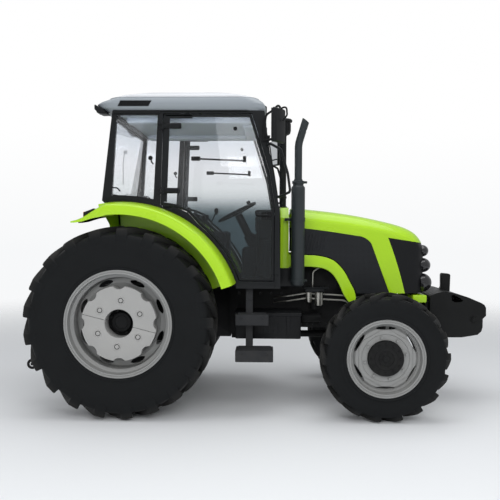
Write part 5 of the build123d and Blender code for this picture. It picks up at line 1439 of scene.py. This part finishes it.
class MakeChassis(bpy.types.Operator):
    """Castings, axles, pipes, weights and hitch"""
    bl_idname = "tractor.chassis"
    bl_label = "Chassis"

    def execute(self, context):
        for node in ("transmission", "engine_block", "front_support", "front_axle", "front_drive_shaft"):
            dress(eased(node, 0.008), "chassis", "cast_black")
        dress(eased("radiator", 0.004), "chassis", "black_metal")
        for side, _ in SIDES:
            dress(eased(f"knuckle_{side}", 0.008), f"knuckle_{side}", "cast_black")
        dress(eased("steering_rod", 0.002), "steering_rod", "steel")
        self.engine_side()
        self.weights()
        self.hitch()
        return {"FINISHED"}

    def engine_side(self):
        """Lines, filters, tray, runners and bolts along the engine, and the cab's front mount."""
        bright = []
        for z, y in ((1.035, -0.372), (0.990, -0.378)):
            bright.append(pipe("line", [at(1.30, y + 0.06, z - 0.05), at(1.42, y, z - 0.03), at(1.60, y, z),
                                        at(1.95, y, z - 0.02), at(2.10, y + 0.03, z - 0.10),
                                        at(2.13, y + 0.12, z - 0.16)], 0.008, 0.06))
        bright.append(pipe("line", [at(1.66, -0.36, 1.09), at(1.66, -0.375, 1.23), at(1.72, -0.36, 1.27),
                                    at(1.80, -0.30, 1.27)], 0.007, 0.04))
        for x, y, low, shoulder, radius, neck in FILTERS:
            bright.append(turned("filter", [(low, 0.0), (low, neck), (shoulder, radius), (1.045, radius),
                                            (1.050, neck), (1.052, 0.0)], at(x, y, 0), 40, "Z"))
        made("fuel_lines_and_filters", bright, "chassis", "zinc")
        dark = [box("head", at(1.588, -0.435, 1.050), at(1.762, -0.340, 1.082), 0.008, 3),
                box("tray", at(1.575, -0.440, 1.082), at(1.806, -0.335, 1.092), 0.003),
                box("arm", at(1.60, -0.345, 0.99), at(1.63, -0.229, 1.09), 0.004),
                box("arm", at(1.74, -0.345, 0.99), at(1.77, -0.229, 1.09), 0.004)]
        for x in (1.56, 1.66, 1.76, 1.86, 1.96):
            dark.append(box("runner", at(x, -0.262, 1.33), at(x + 0.055, -0.228, 1.385), 0.010, 3))
        dark.append(box("mount", at(1.352, -0.400, 1.092), at(1.478, 0.400, 1.262), 0.012, 3))
        dark.append(bolts_at([(1.50 + 0.06 * k, -0.2305, 0.730) for k in range(10)], 0.009, 0.009))
        dark.append(bolts_at([(0.98 + 0.10 * k, -0.2305, 1.02) for k in range(5)], 0.010, 0.010))
        for y, out in ((-0.3005, "-Y"), (0.3005, "Y")):
            dark.append(bolts_at([(2.10 + 0.12 * k, y, 0.93) for k in range(5)], 0.012, 0.010, out))
        made("engine_fittings", dark, "chassis", "black_metal")

    def weights(self):
        """Ten hung plates on the front support, their through bolt, hooks and tow post."""
        def over_front(outline):
            return from_rear([(WHEELBASE + x, z) for x, z in outline])

        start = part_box("front_weights")[0].x - REAR_X - WHEELBASE
        outline = over_front([(max(x, start), z) for x, z in WEIGHT_PLATE])
        pieces = []
        for k in range(10):
            y = (k - 4.5) * 0.072
            slab = plate("slab", outline, y - 0.0352, y + 0.0352)
            cut(slab, plate("hole", over_front(WEIGHT_HOLE), y - 0.04, y + 0.04))
            pieces.append(soften(slab, 0.007, 3, 30))
        for x, z in ((1.016, 0.885), (1.010, 0.760)):
            x += WHEELBASE
            pieces.append(pipe("hook", [at(x - 0.02, 0.0, z), at(x + 0.012, 0.0, z), at(x + 0.014, 0.0, z + 0.022)],
                               0.007, 0.01))
        x, z = WHEELBASE + 0.90, 0.80
        pieces.append(rod("through_bolt", at(x, -0.372, z), at(x, 0.372, z), 0.014, sides=24))
        for side, out in ((-1, "-Y"), (1, "Y")):
            pieces.append(bolts_at([(x, side * 0.360, z)], 0.024, 0.018, out))
        pieces.append(soften(plate("post", over_front(TOW_POST), -0.032, 0.032), 0.007, 3, 30))
        made("front_weight_plates", pieces, "chassis", "weight_black", "front_weights")

    def hitch(self):
        """Link balls, turnbuckles, shaft guard and couplers round the rear hitch."""
        balls = []
        for side in (-1, 1):
            y = side * 0.430
            profile = [(-0.024, 0.0146), (-0.024, 0.022), (-0.014, 0.031), (0, 0.035), (0.014, 0.031), (0.024, 0.022),
                       (0.024, 0.0146)]
            balls.append(turned("ball", [(y + out, r) for out, r in profile], at(-0.917, 0, 0.372), 32))
        made("lower_link_bars", [eased("lower_links", 0.006)], "lower_links", "cast_black")
        made("link_balls", balls, "lower_links", "bright_steel")
        dress(eased("lift_arms", 0.006), "lift_arms", "cast_black")
        rods = [eased("lift_rods", 0.003)]
        for side in (-1, 1):
            top = at(-0.4820, side * 0.294, 0.888)
            low = at(-0.494, side * 0.294, 0.440)
            way = (low - top).normalized()
            rods.append(rod("sleeve", top + way * 0.10, top + way * 0.27, 0.021, sides=6, edge=0.002))
            for down in (0.08, 0.27):
                rods.append(rod("nut", top + way * down, top + way * (down + 0.02), 0.024, sides=6))
        made("lift_rod_turnbuckles", rods, "lift_rods", "steel")
        dress(eased("drawbar", 0.006), "chassis", "cast_black")
        guard = [plate("top", from_rear([(-0.375, 0.745), (-0.470, 0.730), (-0.470, 0.738), (-0.375, 0.755)]),
                       -0.115, 0.115)]
        for side in (-1, 1):
            cheek = from_rear([(-0.375, 0.750), (-0.470, 0.735), (-0.455, 0.640), (-0.375, 0.600)])
            guard.append(plate("cheek", cheek, side * 0.109, side * 0.115))
        guard.append(bolts_at([(-0.3755, y, z) for y in (-0.17, -0.10, 0.10, 0.17) for z in (0.60, 0.80, 0.97)],
                              0.011, 0.010, "-X"))
        for side in (-1, 1):
            y, z = side * 0.135, 0.885
            guard.append(rod("coupler", at(-0.372, y, z), at(-0.415, y, z), 0.024, edge=0.004))
            guard.append(rod("cap", at(-0.412, y, z), at(-0.428, y, z), 0.018, 0.014, 24))
        made("shaft_guard_and_couplers", guard, "chassis", "black_metal")


# ---- stage --------------------------------------------------------------------------------------
def white_sky():
    """Even daylight for the object, and a white backdrop fading to grey low down for the camera."""
    world = bpy.data.worlds.new("studio_sky")
    bpy.context.scene.world = world
    world.use_nodes = True
    tree = world.node_tree
    light = tree.nodes["Background"]
    light.inputs["Color"].default_value = (0.97, 0.985, 1.0, 1)
    light.inputs["Strength"].default_value = bpy.context.scene.tractor_studio.daylight
    place = add_node(tree, "ShaderNodeTexCoord").outputs["Generated"]
    high = add_node(tree, "ShaderNodeSeparateXYZ", Vector=place).outputs["Z"]
    fade = add_node(tree, "ShaderNodeMapRange", {"clamp": True}, Value=high, From_Min=-0.03, From_Max=0.14)
    shown = add_node(tree, "ShaderNodeBackground",
                     Color=mixed(tree, fade.outputs[0], (0.93, 0.94, 0.95), (1.0, 1.0, 1.0)))
    path = add_node(tree, "ShaderNodeLightPath")
    seen = add_node(tree, "ShaderNodeMath", {"operation": "MAXIMUM"}, _0=path.outputs["Is Camera Ray"],
                    _1=path.outputs["Is Transmission Ray"])
    both = add_node(tree, "ShaderNodeMixShader", _0=seen.outputs[0], _1=light.outputs[0], _2=shown.outputs[0])
    tree.links.new(both.outputs[0], tree.nodes["World Output"].inputs["Surface"])


def floor_paint():
    """Pale studio floor that fades into the backdrop far from the tractor."""
    material = bpy.data.materials.new("studio_floor")
    material.use_nodes = True
    tree = material.node_tree
    shader = tree.nodes["Principled BSDF"]
    shader.inputs["Roughness"].default_value = 0.6
    shader.inputs["Base Color"].default_value = (0.755, 0.77, 0.79, 1)
    place = add_node(tree, "ShaderNodeTexCoord").outputs["Object"]
    far = add_node(tree, "ShaderNodeVectorMath", {"operation": "LENGTH"}, _0=place)
    fade = add_node(tree, "ShaderNodeMapRange", {"clamp": True, "interpolation_type": "SMOOTHSTEP"},
                    Value=far.outputs["Value"], From_Min=3.5, From_Max=11.0)
    clear = add_node(tree, "ShaderNodeBsdfTransparent")
    both = add_node(tree, "ShaderNodeMixShader", _0=fade.outputs[0], _1=shader.outputs[0], _2=clear.outputs[0])
    tree.links.new(both.outputs[0], tree.nodes["Material Output"].inputs["Surface"])
    return material


def soft_lamp(name, place, aim, width, height, power):
    leave_all()
    place = Vector(place)
    turn = (Vector(aim) - place).to_track_quat("-Z", "Y").to_euler()
    bpy.ops.object.light_add(type="AREA", location=place, rotation=turn)
    lamp = bpy.context.active_object
    lamp.name = name
    lamp.data.shape = "RECTANGLE"
    lamp.data.size = width
    lamp.data.size_y = height
    lamp.data.energy = power
    return lamp


class MakeStudio(bpy.types.Operator):
    """Floor, backdrop, lights and camera"""
    bl_idname = "tractor.studio"
    bl_label = "Studio"

    def execute(self, context):
        values = context.scene.tractor_studio
        white_sky()
        leave_all()
        bpy.ops.mesh.primitive_circle_add(vertices=96, radius=12, fill_type="NGON")
        floor = settle("studio_floor")
        floor.data.materials.append(floor_paint())
        lamps = [soft_lamp("overhead", (0.2, -0.6, 5.6), (0, 0, 1), 6.0, 4.0, 148),
                 soft_lamp("front_left", (1.5, -6.5, 4.2), (0, 0, 1.3), 5.0, 3.0, 215),
                 soft_lamp("low_fill", (-3.5, -6.0, 2.0), (-0.4, 0, 1.0), 3.0, 3.0, 70)]
        for lamp in lamps[1:]:
            lamp.visible_glossy = False
        leave_all()
        turn = (Matrix.Rotation(-values.yaw, 4, "Z") @ Matrix.Rotation(pi / 2 - values.pitch, 4, "X")
                @ Matrix.Rotation(values.roll, 4, "Z"))
        bpy.ops.object.camera_add(location=values.eye, rotation=turn.to_euler())
        camera = bpy.context.active_object
        camera.name = "studio_camera"
        camera.data.lens = values.lens
        camera.data.sensor_width = 36
        camera.data.shift_y = values.rise
        context.scene.camera = camera
        context.scene.view_settings.view_transform = "Standard"
        return {"FINISHED"}


# ---- panel and run ------------------------------------------------------------------------------
PIECES = (MakeRearWheels, MakeFrontWheels, MakeHood, MakeLamps, MakeRoof, MakeCab, MakeInterior, MakeFenders,
          MakeBody, MakeChassis, MakeStudio)


class TractorPanel(bpy.types.Panel):
    """Lists the tractor's pieces"""
    bl_idname = "VIEW3D_PT_tractor"
    bl_label = "Tractor"
    bl_space_type = "VIEW_3D"
    bl_region_type = "UI"
    bl_category = "Tractor"

    def draw(self, context):
        for piece in PIECES:
            self.layout.operator(piece.bl_idname)
        for group in (context.scene.tractor_tyres, context.scene.tractor_finish, context.scene.tractor_studio):
            column = self.layout.column()
            for key in group.__annotations__:
                column.prop(group, key)


CLASSES = (TyreSettings, FinishSettings, StudioSettings) + PIECES + (TractorPanel,)


def register():
    for each in CLASSES:
        bpy.utils.register_class(each)
    bpy.types.Scene.tractor_tyres = bpy.props.PointerProperty(type=TyreSettings)
    bpy.types.Scene.tractor_finish = bpy.props.PointerProperty(type=FinishSettings)
    bpy.types.Scene.tractor_studio = bpy.props.PointerProperty(type=StudioSettings)


def unregister():
    del bpy.types.Scene.tractor_studio
    del bpy.types.Scene.tractor_finish
    del bpy.types.Scene.tractor_tyres
    for each in reversed(CLASSES):
        bpy.utils.unregister_class(each)


def main():
    register()
    bpy.ops.tractor.rear_wheels()
    bpy.ops.tractor.front_wheels()
    bpy.ops.tractor.hood()
    bpy.ops.tractor.lamps()
    bpy.ops.tractor.roof()
    bpy.ops.tractor.cab()
    bpy.ops.tractor.interior()
    bpy.ops.tractor.fenders()
    bpy.ops.tractor.body()
    bpy.ops.tractor.chassis()
    bpy.ops.tractor.studio()


if __name__ == "__main__":
    main()
